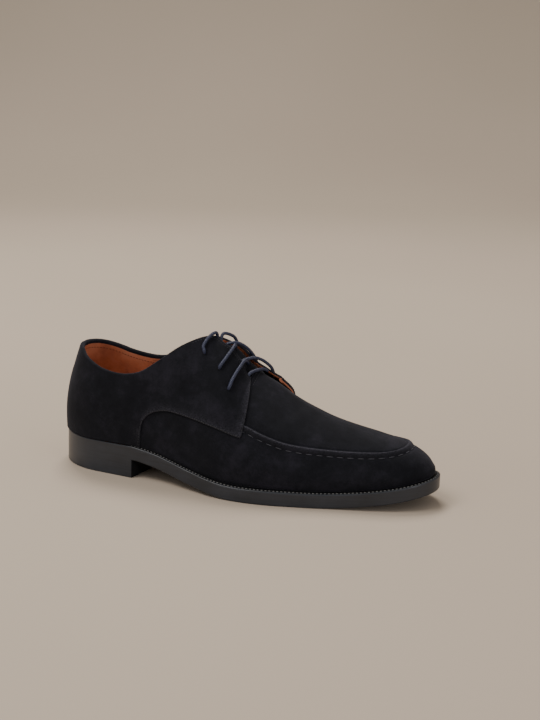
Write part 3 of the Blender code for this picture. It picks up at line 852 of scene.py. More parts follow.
CREASES = (
    # across the vamp, where the foot bends it
    Crease((186.0, -34.0, 57.0), (199.0, 8.0, 64.0), 0.55, 5.0),
    Crease((200.0, -36.0, 50.0), (212.0, 10.0, 58.0), 0.45, 5.5),
    Crease((193.0, -36.0, 54.0), (205.0, 8.0, 61.5), -0.35, 4.5),
    Crease((196.0, 40.0, 50.0), (186.0, 8.0, 68.0), 0.4, 6.0),
    # the swell of the instep, just in front of the throat
    Crease((160.0, 3.0, 84.0), (186.0, 5.0, 70.0), -1.3, 9.0),
    # on the outer quarter, below the ankle and from the facing down
    Crease((64.0, -35.0, 74.0), (96.0, -36.0, 62.0), 0.7, 7.0),
    Crease((104.0, -32.0, 84.0), (140.0, -40.0, 62.0), 0.6, 9.0),
    Crease((118.0, -36.0, 60.0), (152.0, -40.0, 58.0), -0.5, 6.0),
    # on the side wall, above the waist
    Crease((84.0, -39.0, 44.0), (108.0, -42.0, 33.0), -0.8, 6.0),
    Crease((92.0, -39.0, 49.0), (126.0, -47.0, 36.0), 0.5, 6.0),
    Crease((150.0, -56.0, 30.0), (178.0, -57.0, 28.0), 0.4, 7.0),
    # the inner quarter
    Crease((66.0, 25.0, 76.0), (104.0, 22.0, 62.0), 0.7, 8.0),
    Crease((112.0, 24.0, 82.0), (150.0, 36.0, 58.0), 0.6, 9.0),
    # around the heel, above its stiffener
    Crease((12.0, -26.0, 78.0), (44.0, -32.0, 70.0), 0.4, 6.0),
    Crease((12.0, 30.0, 80.0), (44.0, 30.0, 72.0), 0.4, 6.0),
)


def relief(points: Array) -> Array:
    """Creases, and the slight unevenness of leather over a last."""
    lift = sum(crease.lift(points) for crease in CREASES)
    x, y, z = points[..., 0], points[..., 1], points[..., 2]
    wave = np.sin(x / 9.7 + 1.3 * np.sin(z / 14.0)) * np.sin(y / 11.3 + z / 17.0 + 0.6)
    return lift + 0.14 * wave + 0.07 * np.sin(x / 4.3 + y / 5.1) * np.sin(z / 4.9 + 1.1)


@dataclass(frozen=True)
class ApronSeam:
    """The raised seam between the apron and the side wall, sewn by hand below its crown."""

    height: float = 1.6
    below: float = 3.8
    over: float = 1.7
    stitch_drop: float = 3.9
    groove: float = 0.45
    rise_length: float = 7.0
    start: dict = field(default_factory=lambda: {Side.OUTER: 157.0, Side.INNER: 168.0})

    def lift(self, side: Side, x: Array | float, above: Array) -> Array:
        """How far the seam stands out.

        Args:
            side: Side of the foot.
            x: Place along the shoe.
            above: Distance above the seam's crown, along the section.

        Returns:
            Lift at each distance.
        """
        fade = smoothstep((x - self.start[side]) / self.rise_length)
        lower = (1 - np.clip(-above / self.below, 0.0, 1.0) ** 1.7) ** 1.1
        upper = (1 - np.clip(above / self.over, 0.0, 1.0) ** 1.6) ** 1.5
        roll = self.height * np.where(above < 0.0, lower, upper)
        channel = self.groove * np.exp(-((above + self.stitch_drop + 0.4) / 1.0) ** 2)
        crease = self.groove * np.exp(-((above - self.over) / 0.9) ** 2)
        return fade * (roll - channel - crease)


@dataclass
class Vamp:
    """Vamp, apron and side wall: one skin of suede from the throat round the toe to the waist."""

    last: Last
    shop: Workshop
    finishes: Finishes
    seam: ApronSeam = field(default_factory=ApronSeam)
    rear: float = 66.0
    band: float = 9.0
    step: float = 2.0
    thickness: float = 1.6
    low_rows: int = 14
    seam_rows: int = 34
    high_rows: int = 36
    front_columns: int = 54
    toe_columns: int = 34
    worn_rows: int = 16
    throat_worn: float = 0.3
    sewn_from: dict = field(default_factory=lambda: {Side.OUTER: 162.0, Side.INNER: 172.0})
    throat_reach: dict = field(default_factory=lambda: {Side.OUTER: 14.5, Side.INNER: 11.0})

    def stations(self) -> Array:
        """x of the sections' feet, from the rear to the toe's tip."""
        rear = np.arange(self.rear, self.last.throat - 0.1, self.step)
        front = np.linspace(self.last.throat, self.last.toe_pole, self.front_columns)
        return np.concatenate([rear, front[:-1], self.last.toe_stations(self.toe_columns)])

    def row_lengths(self, section: Section, x: float) -> tuple[Array, float]:
        """Lengths of a section's rows, close together at the seam, and the seam's own length."""
        seam = section.length_at_height(APRON_SEAM.read("height", x))
        start = max(seam - self.band, 1.0)
        low = np.linspace(0.0, start, self.low_rows)
        near = np.linspace(start, seam + self.band, self.seam_rows)[1:]
        high = np.linspace(seam + self.band, section.total, self.high_rows)[1:]
        return np.concatenate([low, near, high]), seam

    def loop(self) -> list[tuple[float, Side]]:
        """Sections from the outer side round the toe to the inner side."""
        xs = self.stations()
        return [(x, Side.OUTER) for x in xs] + [(x, Side.INNER) for x in xs[-2::-1]]

    def skin(self) -> tuple[Array, Array]:
        """Work out the skin.

        Returns:
            Its points (columns, rows, 3), and x of each column's section.
        """
        columns, lifts = [], []
        loop = self.loop()
        for x, side in loop:
            section = self.last.section(x, side)
            lengths, seam = self.row_lengths(section, x)
            columns.append(section.at(lengths))
            lifts.append(self.seam.lift(side, x, lengths - seam))
        points = np.array(columns)
        normals = -grid_normals(points)
        feet = np.array([x for x, _ in loop])
        # All columns past the toe's pole end in one point: they share its normal, unlifted.
        crown = normals[:, -1] + normals[::-1, -1]
        at_pole = np.flatnonzero(feet <= self.last.toe_pole)
        crown[feet > self.last.toe_pole] = crown[at_pole[np.argmax(feet[at_pole])]]
        normals[:, -1] = unit(crown)
        lift = np.array(lifts) + relief(points)
        lift[feet > self.last.toe_pole, -1] = 0.0
        return points + normals * lift[..., None], feet

    def seam_line(self, drop: float) -> Array:
        """Work out a line beside the apron seam, from the outer quarter round the toe.

        Args:
            drop: Its distance below the seam's crown.

        Returns:
            Its points.
        """
        line = []
        for x, side in self.loop():
            if x > self.sewn_from[side]:
                section = self.last.section(x, side)
                seam = section.length_at_height(APRON_SEAM.read("height", x))
                line.append(section.at(np.array([seam - drop]))[0])
        return np.array(line)

    def throat_line(self, ahead: float) -> Array:
        """Line across the vamp, a distance ahead of its throat edge."""
        halves = []
        for side in Side:
            section = self.last.section(self.last.throat + ahead, side)
            start = section.length_at_reach(self.throat_reach[side])
            halves.append(section.at(np.linspace(start, section.total, 12)))
        return np.concatenate([halves[0], halves[1][-2::-1]])

    def build(self) -> Piece:
        """Build the vamp's skin."""
        points, feet = self.skin()
        columns, rows = points.shape[:2]
        wear_and_highlight = np.zeros((columns, rows))
        # Along the apron seam's crown the nap is drawn lighter: wear, and a painted highlight on
        # the ridge's crest.
        offsets = np.linspace(-self.band, self.band, self.seam_rows)
        rubbed_and_highlight = (0.5 * np.exp(-((offsets - 0.3) / 0.8) ** 2)
                  + 0.12 * np.exp(-((offsets + 1.0) / 3.0) ** 2))
        first = self.low_rows - 1
        for c, x in enumerate(feet):
            side = Side.OUTER if c <= columns // 2 else Side.INNER
            shown = float(smoothstep((x - self.seam.start[side]) / self.seam.rise_length))
            wear_and_highlight[c, first:first + self.seam_rows] = shown * rubbed_and_highlight
        throat = np.abs(feet - self.last.throat) < 1.0
        wear_and_highlight[throat, -self.worn_rows:] = self.throat_worn
        under_quarters = first + self.seam_rows - 1

        def keep(c: int, r: int) -> bool:
            """Leave the crest open behind the throat."""
            return min(feet[c], feet[c + 1]) >= self.last.throat - 0.01 or r < under_quarters

        faces = [face[::-1] for face in grid_faces(columns, rows, keep=keep)]
        piece = self.shop.mesh("vamp", points.reshape(-1, 3), faces,
                               [self.finishes.suede, self.finishes.lining], wear_and_highlight=wear_and_highlight)
        self.shop.tidy(piece)
        self.shop.add_wall(piece, self.thickness)
        return self.shop.finish(piece, "suede", "upper")


def shoe_loop(xs: Array) -> list[tuple[float, Side]]:
    """Sections from the outer side round the heel to the inner side, for rising xs."""
    return [(x, Side.OUTER) for x in xs[::-1]] + [(x, Side.INNER) for x in xs[1:]]


@dataclass
class Quarters:
    """The two quarters with their facings, whose top edge is rolled over the lining."""

    last: Last
    shop: Workshop
    finishes: Finishes
    seam: ApronSeam = field(default_factory=ApronSeam)
    foot: float = 79.0
    run_in: float = 12.0
    outside: float = 1.7
    inside: float = -2.0
    rolled: float = 1.5
    thinning: float = 1.2
    skive: float = 1.2
    skive_height: float = 22.0
    skive_width: float = 7.0
    edge_lift: float = 0.25
    edge_round: float = 0.9
    spring: float = 1.7
    per_height: float = 1.25  # length along a section for each millimetre of height
    back_groove: tuple[float, ...] = (0.55, 0.15)
    front_tuck: tuple[float, ...] = (0.7, 1.8, 3.2)
    roll_turns: tuple[float, ...] = (20, 42, 64, 86, 104, 122, 148, 176)
    lining_sinks: tuple[float, ...] = (1.2, 2.6)
    turned_columns: int = 8
    low_rows: int = 14
    high_rows: int = 46
    strip_steps: tuple[float, ...] = (0.12, 0.26, 0.4, 0.54, 0.67, 0.78, 0.87, 0.94, 0.98, 1.0)
    edges: dict = field(default_factory=dict)

    def stations(self) -> Array:
        """x of the sections' feet from the back of the heel to the throat."""
        steps = np.array([-1.4, -0.8, -0.4, -0.15, 0.0, 0.3, 0.6, 1.0, 1.6])
        side = np.concatenate([np.arange(42.0, self.foot - 1.9, 2.0), self.foot + steps,
                               np.arange(self.foot + 2.4, 97.0, 1.2),
                               np.arange(97.0, self.last.throat - 0.5, 1.5), [self.last.throat]])
        return np.concatenate([self.last.heel_stations(26), side])

    def row_lengths(self, low: float, high: float) -> Array:
        """Lengths of a section's rows, close together at the lower edge and at the top."""
        start = np.array([0.0, 0.15, 0.4, 0.8, 1.5, 2.6])
        end = np.array([2.6, 1.5, 0.7, 0.0])
        middle = np.linspace(low + start[-1], high - end[0],
                             self.high_rows - len(start) - len(end) + 2)[1:-1]
        below = np.linspace(0.3, low, self.low_rows + 1)[:-1]
        return np.concatenate([below, low + start, middle, high - end])

    def column(self, x: float, side: Side) -> Array:
        """Work out the rows of one section of a quarter.

        Args:
            x: Place of the section's foot.
            side: Side of the foot.

        Returns:
            For each row its x, y and z, and its length above the lower edge.
        """
        section = self.last.section(x, side)
        low = section.length_at_height(QUARTER_EDGE.read("height", x))
        high = section.length_at_height(topline(min(x, self.last.throat), side))
        if x >= self.last.throat - self.run_in:
            share = float(smoothstep((x - self.last.throat + self.run_in) / self.run_in))
            high += (section.length_at_reach(FRONTS[side].reach) - high) * share
        lengths = self.row_lengths(low, high - self.rolled)
        return np.column_stack([section.at(lengths), lengths - low])

    def base(self, side: Side) -> tuple[Array, Array, Array, Array]:
        """All columns of one quarter, from the heel's back to the bowed front edge.

        Args:
            side: Side of the foot.

        Returns:
            Points, distance above the lower edge, distance from the front edge, and x of each
            column's section.
        """
        front = FRONTS[side]
        xs = self.stations()
        rear = np.array([self.column(x, side) for x in xs])
        ends = front.x(rear[-1, :, 3], rear[-1, -1, 3])
        places = np.arange(self.last.throat, ends.max() + 2.0, 1.0)
        fine = np.array([self.column(x, side) for x in places])
        strips, from_front = [], []
        for step in self.strip_steps:
            wanted = self.last.throat + (ends - self.last.throat) * step
            strips.append([[np.interp(place, places, fine[:, row, k]) for k in range(4)]
                           for row, place in enumerate(wanted)])
            from_front.append(ends - wanted)
        far = np.full((len(xs), rear.shape[1]), 99.0)
        whole = np.concatenate([rear, np.array(strips)])
        feet = np.concatenate([xs, np.full(len(strips), self.last.throat + 1.0)])
        return whole[..., :3], whole[..., 3], np.concatenate([far, np.array(from_front)]), feet

    def from_lower_edge(self, above: Array, feet: Array) -> Array:
        """Distance of each point from the lower edge, and behind its corner from the corner."""
        beside = np.maximum(self.foot - feet, 0.0)[:, None]
        behind = np.where(above < 0.0, beside, np.hypot(beside, above))
        return np.where(feet[:, None] <= self.foot, behind, above)

    def lifts(self, side: Side, points: Array, above: Array, front: Array, feet: Array) -> Array:
        """How far the quarter's outside stands out at each point.

        Args:
            side: Side of the foot.
            points: The sheet's base points.
            above: Their distances above the lower edge.
            front: Their distances from the front edge.
            feet: x of each column's section.

        Returns:
            Lift of each point.
        """
        lower = self.from_lower_edge(above, feet)
        distance = np.minimum(np.maximum(lower, 0.0), np.maximum(front, 0.0))
        rounding = np.sqrt(1 - (1 - np.clip(distance / self.edge_round, 0.0, 1.0)) ** 2)
        seam_height = APRON_SEAM.read("height", points[..., 0])
        drape = self.seam.lift(side, points[..., 0],
                               (points[..., 2] - seam_height) * self.per_height)
        outside = self.outside - self.skive * self.skived(points, feet)
        skin = self.edge_lift + (outside - self.edge_lift) * rounding
        return (skin + relief(points) + np.maximum(drape, 0.0)
                + sprung(side, points[..., 0], above, self.spring))

    def skived(self, points: Array, feet: Array) -> Array:
        """How far each point is pared thin, from 0 to 1: low down along the rear edge."""
        beside = np.maximum(self.foot - feet, 0.0)[:, None]
        low = 1 - smoothstep((points[..., 2] - self.skive_height) / self.skive_height)
        return low * np.exp(-(beside / self.skive_width) ** 2)

    def roll(self, points: Array, normals: Array, lift: Array) -> Array:
        """Rows of the rolled top edge and of the tuck behind it, thinner along the facing.

        Args:
            points: The sheet's base points.
            normals: Their normals.
            lift: How far the outside stands out along the top row.

        Returns:
            Points (columns, rows, 3), to go on from the top row.
        """
        up = unit(points[:, -1] - points[:, -3])
        top, normal = points[:, -1], normals[:, -1]
        thin = thinned(points[:, -1, 0], self.thinning)
        radius = (self.outside - self.inside - thin) / 2
        middle = lift - radius
        rows = []
        for turn in np.radians(self.roll_turns):
            rows.append(top + normal * (middle + radius * np.cos(turn))[:, None]
                        + up * (self.rolled * np.sin(turn)))
        for sink in self.lining_sinks:
            rows.append(top + normal * (middle - radius - 0.12)[:, None] - up * sink)
        return np.stack(rows, axis=1)

    def edge_wear_and_rim_highlight(self, points: Array, above: Array, front: Array, feet: Array,
                     rows: int) -> Array:
        """How much lighter the nap is drawn at each point: wear along the edges, and painted
        highlight over the roll along the facing.

        Args:
            points: The sheet's base points.
            above: Their distances above the lower edge.
            front: Their distances from the front edge.
            feet: x of each column's section.
            rows: Number of rows with those of the roll.

        Returns:
            Wear of each point, from 0 to 1.
        """
        lower = self.from_lower_edge(above, feet)
        distance = np.minimum(np.abs(lower), np.maximum(front, 0.0))
        skin = 0.26 * np.exp(-(distance / 0.9) ** 2) + 0.3 * np.exp(-(distance / 4.5) ** 2)
        skin *= 1 - self.skived(points, feet)
        # Over the facing's rolled rim the nap is drawn lighter: painted highlight where the rim
        # catches the light.
        facing = smoothstep((points[:, -1, 0] - FACING_START) / 30.0)[:, None]
        roll = np.full((len(feet), rows - above.shape[1]), 0.25) * facing
        roll[:, -4:] = 0.0
        return np.concatenate([skin, roll], axis=1)

    def build(self, side: Side) -> Piece:
        """Build one quarter.

        Args:
            side: Side of the foot.

        Returns:
            The piece.
        """
        points, above, front, feet = self.base(side)
        other = Side.INNER if side is Side.OUTER else Side.OUTER
        mate = np.array([self.column(x, other)[:, :3] for x in self.stations()[1:3]])
        normals = grid_normals(np.concatenate([mate[::-1], points]))[2:] * side.value
        lift = self.lifts(side, points, above, front, feet)
        for column, sink in zip(lift, self.back_groove):
            column -= sink
        sheet = points + normals * lift[..., None]
        low, sheet_rows = self.low_rows, points.shape[1]
        whole = np.concatenate([sheet, self.roll(points, normals, lift[:, -1])], axis=1)
        under = whole[[-1, -1, -4]].copy()
        for column, base, drop in zip(under, normals[[-1, -1, -4]], self.front_tuck):
            column[:sheet_rows] -= base * drop
        whole = np.concatenate([whole, under])
        columns, rows = whole.shape[:2]
        reach = np.concatenate([feet, [self.last.throat + 1.0] * len(under)])
        real = len(feet)

        def keep(c: int, r: int) -> bool:
            """Leave out the rows under the lower edge in front of its corner."""
            if c >= real - 1:
                return low <= r < sheet_rows - 1
            return r >= low or max(reach[c], reach[c + 1]) <= self.foot + 0.01

        faces, slots = grid_faces(columns, rows, keep=keep), []
        for c, r in (divmod(face[0], rows) for face in faces):
            edge_lined = c >= real and side is Side.INNER and r > low + 7
            turned_in = (2 * smoothstep((reach[c] - 104.0) / 20.0)
                         + smoothstep((reach[c] - 148.0) / 8.0))
            lined = r >= sheet_rows + len(self.roll_turns) - round(float(turned_in))
            if side is Side.OUTER and c >= real - self.turned_columns:
                lined = r >= rows - 2
            slots.append(int(lined or edge_lined or c >= real + 1))
        faces.append([(real - 1) * rows + r for r in range(sheet_rows - 1, rows)])
        slots.append(int(side is Side.INNER))
        if side is Side.OUTER:
            faces = [face[::-1] for face in faces]
        name = f"quarter_{side.name.lower()}_suede"
        wear_and_highlight = self.edge_wear_and_rim_highlight(points, above, front, feet, rows)
        wear_and_highlight = np.concatenate([wear_and_highlight, np.zeros((len(under), rows))])
        piece = self.shop.mesh(name, whole.reshape(-1, 3), faces,
                               [self.finishes.suede, self.finishes.lining], slots, wear_and_highlight=wear_and_highlight)
        self.shop.tidy(piece)
        corner = int(np.argmax(feet >= self.foot))
        self.edges[side] = {
            "lower": np.concatenate([sheet[corner, :low], sheet[corner:real, low]]),
            "front": sheet[-1, low:],
            "top": sheet[:, -1],
        }
        return self.shop.finish(piece, "suede", f"quarter_{side.name.lower()}")


def topline(x: float, side: Side) -> float:
    """Height of the top line at x."""
    return float(TOPLINE_TABLE.read("outer" if side is Side.OUTER else "inner", x))


def thinned(x: Array | float, most: float) -> Array:
    """How much thinner the edge of a facing is than the collar's, at x."""
    return most * smoothstep((np.asarray(x, float) - FACING_START) / 16.0)


def grip_edge(height: Array | float) -> Array:
    """x of the front edge of the heel grip inside the shoe, at a height."""
    top, flare, height_of_top = 60.0, 14.0, 86.0
    share = np.clip(np.asarray(height, float) / height_of_top, 0.0, 1.0)
    return top + flare * (1 - share) ** 2


def sprung(side: Side, x: Array, above: Array, spring: float) -> Array:
    """How far a facing springs off the vamp, towards its top and front.

    The inner one springs further: at its corner, and along its rim before the throat.

    Args:
        side: Side of the foot.
        x: Place along the shoe.
        above: Distance above the quarter's lower edge.
        spring: Most that the inner facing springs behind its corner.

    Returns:
        The distance at each place.
    """
    outer_share, corner_spring, rim_spring = 0.2, 2.7, 2.3
    start = 3.0 if side is Side.INNER else 6.0
    reach = smoothstep((x - 128.0) / 32.0) * smoothstep((above - start) / 22.0)
    if side is Side.OUTER:
        return reach * (outer_share * spring)
    at_corner = smoothstep((x - 164.5) / 11.0)
    corner = corner_spring * at_corner * smoothstep((above - 6.0) / 20.0)
    rim = rim_spring * smoothstep((x - 149.0) / 10.0) * (1 - at_corner)
    return reach * spring + (corner + rim * smoothstep((above - 29.0) / 10.0))


@dataclass
class Inside:
    """Everything that is seen through the collar: lining, its seams and the tongue."""

    last: Last
    shop: Workshop
    finishes: Finishes
    quarters: Quarters
    depth: float = 2.0
    below_top: float = 2.8
    wall_rows: int = 30
    crest_rows: int = 9
    tongue_start: float = 122.0
    tongue_tip: float = 130.5
    tongue_round: float = 7.0
    tongue_end: float = 174.0
    tongue_thickness: float = 2.2
    tongue_rows: int = 34

    def columns(self) -> list[tuple[float, Side]]:
        """Sections from the outer throat round the heel to the inner one, and on round the toe."""
        throat = self.last.throat
        rear = np.concatenate([self.last.heel_stations(24), np.arange(42.5, throat - 1, 2.5)])
        front = np.concatenate([np.linspace(throat, self.last.toe_pole, 36)[:-1],
                                self.last.toe_stations(14)])
        return ([(throat, Side.OUTER)] + shoe_loop(rear) + [(x, Side.INNER) for x in front[:-1]]
                + [(x, Side.OUTER) for x in front[:0:-1]])

    def build_lining(self) -> Piece:
        """Build the lining, from the insole to the rolled top edge and over the vamp's inside."""
        loop = self.columns()
        columns, lifts, whole = [], [], []
        for x, side in loop:
            section = self.last.section(x, side)
            low = section.length_at_height(QUARTER_EDGE.read("height", x))
            behind = x < self.last.throat - 0.01
            if behind:
                high = section.length_at_height(topline(x, side)) - self.below_top
            else:
                high = section.length_at_reach(FRONTS[side].reach)
            lengths = np.concatenate([np.linspace(0.0, high, self.wall_rows),
                                      np.linspace(high, section.total, self.crest_rows)[1:]])
            columns.append(section.at(lengths))
            thin = thinned(x, self.quarters.thinning) * smoothstep(1 - (high - lengths) / 8.0)
            spring = sprung(side, np.full(len(lengths), x), lengths - low, self.quarters.spring)
            lifts.append((spring + thin) * behind)
            whole.append(x > self.last.throat + 3.0)
        points = np.array(columns)
        normals = grid_normals(points, closed=True)
        normals[:, -1] = (0.0, 0.0, 1.0)
        sheet = points + normals * (np.array(lifts) - self.depth + self.seams(points))[..., None]

        def keep(c: int, r: int) -> bool:
            """Leave the throat open."""
            return r < self.wall_rows - 1 or (whole[c] and whole[(c + 1) % len(whole)])

        faces = [face[::-1] for face in grid_faces(*points.shape[:2], closed=True, keep=keep)]
        piece = self.shop.mesh("lining", sheet.reshape(-1, 3), faces, [self.finishes.lining])
        self.shop.tidy(piece)
        return self.shop.finish(piece, "lining", "upper")

    def seams(self, points: Array) -> Array:
        """Step of the lining at the heel grip, which stands up from it, most along its edge."""
        grip = points[..., 0] - grip_edge(points[..., 2])
        return -0.35 * smoothstep(-grip / 0.8) - 0.3 * np.exp(-(grip / 0.7) ** 2)

    def build_tongue(self) -> Piece:
        """Build the tongue: suede outside, lining inside."""
        drops = np.array([26.0, 22.0, 18.0, 14.5, 11.0, 8.0, 5.0, 3.4, 2.0, 0.9, 0.3])
        places = np.arange(self.tongue_start, self.tongue_end + 4.5, 1.0)
        columns = []
        for x in places:
            outer, inner = (self.last.section(x, side) for side in Side)
            top = outer.points[-1, 2]
            halves = [half.at(np.array([half.length_at_height(top - drop) for drop in drops]))
                      for half in (outer, inner)]
            columns.append(np.concatenate([halves[0], outer.points[-1:], halves[1][::-1]]))
        whole = np.array(columns)
        down = np.concatenate([drops, [0.0], drops[::-1]])
        tip = self.tongue_tip + self.tongue_round * (down / drops[0]) ** 2.5
        share = np.linspace(0.0, 1.0, self.tongue_rows)[:, None]
        wanted = tip + (self.tongue_end - tip) * share
        points = np.stack([
            np.stack([np.interp(wanted[:, row], places, whole[:, row, k])
                      for k in range(3)], axis=-1)
            for row in range(len(down))], axis=1)
        normals = -grid_normals(points)
        sink = self.tongue_thickness + TONGUE_DEPTH.read("depth", points[..., 0])
        across = points[..., 1]
        padding = smoothstep((across + 1.0) / 7.0) * (1 - smoothstep((across - 10.0) / 6.0))
        crown = (1.0 + 3.8 * padding) * smoothstep((30.0 - np.abs(across)) / 12.0)
        crown *= smoothstep((172.0 - points[..., 0]) / 14.0)
        aside = np.ones_like(points)
        aside[..., 1] = smoothstep(np.abs(across) / 24.0)
        sheet = points - unit(normals * aside) * (sink - crown)[..., None]
        faces = [face[::-1] for face in grid_faces(*points.shape[:2])]
        piece = self.shop.mesh("tongue_suede", sheet.reshape(-1, 3), faces,
                               [self.finishes.suede, self.finishes.lining])
        self.shop.add_wall(piece, self.tongue_thickness)
        return self.shop.finish(piece, "suede", "tongue")


# ---------------------------------------------------------------- the sole
@dataclass
class Sole:
    """Outsole, welt and heel, trimmed flush so that their edge is one smooth band."""

    last: Last
    shop: Workshop
    finishes: Finishes
    corner: float = 0.9
    heel_corner: float = 0.6
    support: float = 0.4
    edge_outlines: int = 5
    breast_skew: float = 9.0
    breast_run: float = 3.0
    welt_width: float = 10.5
    welt_groove: tuple[tuple[float, float], ...] = ((1.1, 0.0), (1.5, 0.2), (2.1, 0.2), (2.5, 0.0))

    def layer(self, name: str, profile: Sequence[tuple[Callable, Callable]],
              ring: bool = False) -> Piece:
        """Build a closed layer of the sole.

        Args:
            name: Name of the piece.
            profile: Pairs of an inset and a height, both functions of x, from the bottom up.
            ring: Whether the last outline joins the first instead of being filled.

        Returns:
            The piece.
        """
        loops = []
        for inset, height in profile:
            plan = self.last.outline(inset)
            loops.append(np.column_stack([plan, height(plan[:, 0])]))
        count = len(loops[0])
        pairs = [(k, (k + 1) % len(loops)) for k in range(len(loops) if ring else len(loops) - 1)]
        faces = [(a * count + i, a * count + (i + 1) % count,
                  b * count + (i + 1) % count, b * count + i)
                 for a, b in pairs for i in range(count)]
        slots = [int(ring and a > self.edge_outlines) for a, _ in pairs for _ in range(count)]
        for base, lower in (((0, True), ((len(loops) - 1) * count, False)) if not ring else ()):
            for i in range(count // 2):
                across = list(dict.fromkeys([
                    base + i, base + i + 1, base + (count - i - 1) % count,
                    base + (count - i) % count]))
                faces.append(across[::-1] if lower else across)
                slots.append(int(lower))
        return self.shop.mesh(name, np.concatenate(loops), faces,
                              [self.finishes.sole, self.finishes.tread], slots, sharp=40.0)

    def rounding(self, height: Callable, inwards: int, size: Callable) -> list:
        """Outlines of a rounded edge.

        Args:
            height: Height of the edge at x.
            inwards: 1 where the edge is the lower one, -1 where it is the upper one.
            size: Radius of the edge at x.

        Returns:
            Pairs of an inset and a height, both functions of x, from the flat face outwards. The
            last one lies on the side face and keeps that face's shading flat.
        """
        return [(lambda x, t=turn: size(x) * (1 - math.sin(t)),
                 lambda x, t=turn: height(x) + inwards * size(x) * (1 - math.cos(t)))
                for turn in np.radians((0, 30, 60, 90))] + [
                    (level(0.0), lambda x: height(x) + inwards * (size(x) + self.support))]

    def past_heel(self, x: Array) -> Array:
        """Rise from 0 at the heel's breast to 1 a little in front of it."""
        return smoothstep((x - self.last.heel_breast) / self.breast_run)

    def underside(self, x: Array) -> Array:
        """Height of the outsole's underside, which over the heel lies on the joint."""
        return self.last.tread(x) - self.last.gap / 2 * (1 - self.past_heel(x))

    def heel_top(self, x: Array) -> Array:
        """Height of the heel block's top."""
        return self.last.tread(x) - self.last.gap / 2

    def joint_height(self, x: Array) -> Array:
        """Height of the joint between outsole and welt."""
        return self.last.tread(x) + self.last.outsole + self.last.gap / 2

    def welt_top(self, x: Array) -> Array:
        """Height of the welt's top."""
        return self.last.tread(x) + self.last.outsole + self.last.gap + self.last.welt

    def build(self) -> list[Piece]:
        """Build the three pieces."""
        last = self.last
        joint = (level(0.0), self.joint_height)
        outsole = self.layer("outsole_edge", self.rounding(
            self.underside, 1, lambda x: self.corner * self.past_heel(x)) + [joint])
        self.shop.tidy(outsole, 40.0)
        ring = [joint] + self.rounding(self.welt_top, -1, level(self.corner))[::-1]
        ring += [(level(inset), lambda x, drop=drop: self.welt_top(x) - drop)
                 for inset, drop in self.welt_groove]
        ring += [(level(self.welt_width), self.welt_top),
                 (level(self.welt_width), self.joint_height)]
        welt = self.layer("welt_edge", ring, ring=True)
        heel = self.layer("heel_block", self.rounding(level(0.0), 1, level(self.heel_corner))
                          + [(level(0.0), self.heel_top)])
        bm = bmesh.new()
        bm.from_mesh(heel.data)
        breast = [[last.heel_breast, float(last.edge(last.heel_breast, Side.OUTER, 0.0)), 0.0]]
        width = 2 * float(last.half_width(last.heel_breast, 0.0))
        bmesh.ops.bisect_plane(bm, geom=bm.verts[:] + bm.edges[:] + bm.faces[:], clear_outer=True,
                               plane_co=Vector(self.shop.stand.world(breast)[0]),
                               plane_no=(width, -self.breast_skew, 0.0))
        bmesh.ops.holes_fill(bm, edges=[edge for edge in bm.edges if edge.is_boundary], sides=0)
        bm.to_mesh(heel.data)
        bm.free()
        heel.data.set_sharp_from_angle(angle=math.radians(40.0))
        return [self.shop.finish(outsole, "sole_leather", "outsole"),
                self.shop.finish(welt, "sole_leather", "welt"),
                self.shop.finish(heel, "sole_leather", "heel")]


# ---------------------------------------------------------------- the lace
# The same routes as in the solids, from each eyelet on.
LOW_CROSSING = (
    ((148.3, -33.3, 79.9), (148.7, -29.3, 84.1), (149.5, -24.3, 88.0), (150.5, -17.6, 92.2),
     (151.5, -11.9, 95.3), (150.9, -6.8, 94.2), (149.8, -0.5, 91.6), (149.2, 3.6, 89.4)),
    ((164.2, 21.6, 73.2), (165.0, 18.5, 79.5), (164.5, 14.5, 85.5), (162.5, 11.0, 89.3),
     (159.0, 7.0, 93.0), (154.9, 2.5, 95.2), (150.2, -3.5, 94.8), (147.3, -7.4, 93.4)),
)
HIGH_CROSSING = (
    ((138.0, -27.0, 93.3), (139.6, -23.0, 96.9), (140.9, -18.4, 100.3), (142.3, -12.4, 104.3),
     (142.3, -8.6, 105.9), (141.3, -5.0, 105.1), (140.0, -1.0, 103.9), (138.9, 3.2, 101.8)),
    ((150.8, 20.9, 79.2), (151.5, 18.4, 84.0), (151.7, 14.5, 89.6), (150.8, 10.5, 94.8),
     (148.2, 6.4, 100.1), (144.3, 2.0, 104.4), (140.3, -1.5, 106.3), (134.8, -7.2, 105.6)),
)
BAR = ((156.3, -11.0, 86.3), (157.6, -7.5, 87.0), (159.5, -2.0, 87.3), (161.3, 3.0, 86.9),
       (162.4, 6.4, 85.8))
OUTER_END = ((123.1, -22.6, 102.7), (121.8, -21.0, 105.5), (122.6, -17.4, 109.2),
             (124.3, -13.9, 112.2), (126.0, -10.6, 113.9), (127.0, -7.6, 113.4),
             (127.2, -5.8, 109.6), (126.8, -3.8, 105.8), (126.7, -2.4, 101.6))
INNER_END = ((137.0, 18.8, 86.0), (137.6, 15.2, 95.3), (137.2, 10.6, 103.4), (136.2, 6.4, 108.6),
             (134.6, 2.8, 110.9), (132.3, 0.0, 112.2), (130.3, -2.2, 112.3),
             (129.8, -4.5, 109.6), (130.2, -5.9, 106.0))
ENDS = (OUTER_END, INNER_END)
BEHIND_START = 1.2


def hole_of(route: Sequence[Sequence[float]], quarter: Surface) -> tuple[Array, Array, Array]:
    """Find the hole that a strand comes out of, a little behind its first point.

    Args:
        route: The strand's points.
        quarter: The quarter that it comes out of.

    Returns:
        The hole's centre on the facing, the facing's normal there, and the way back to it.
    """
    back = unit(np.array(route[0]) - np.array(route[1]))
    [centre], [normal] = quarter.lay(np.array([np.array(route[0]) + back * BEHIND_START]))
    return centre, normal, back


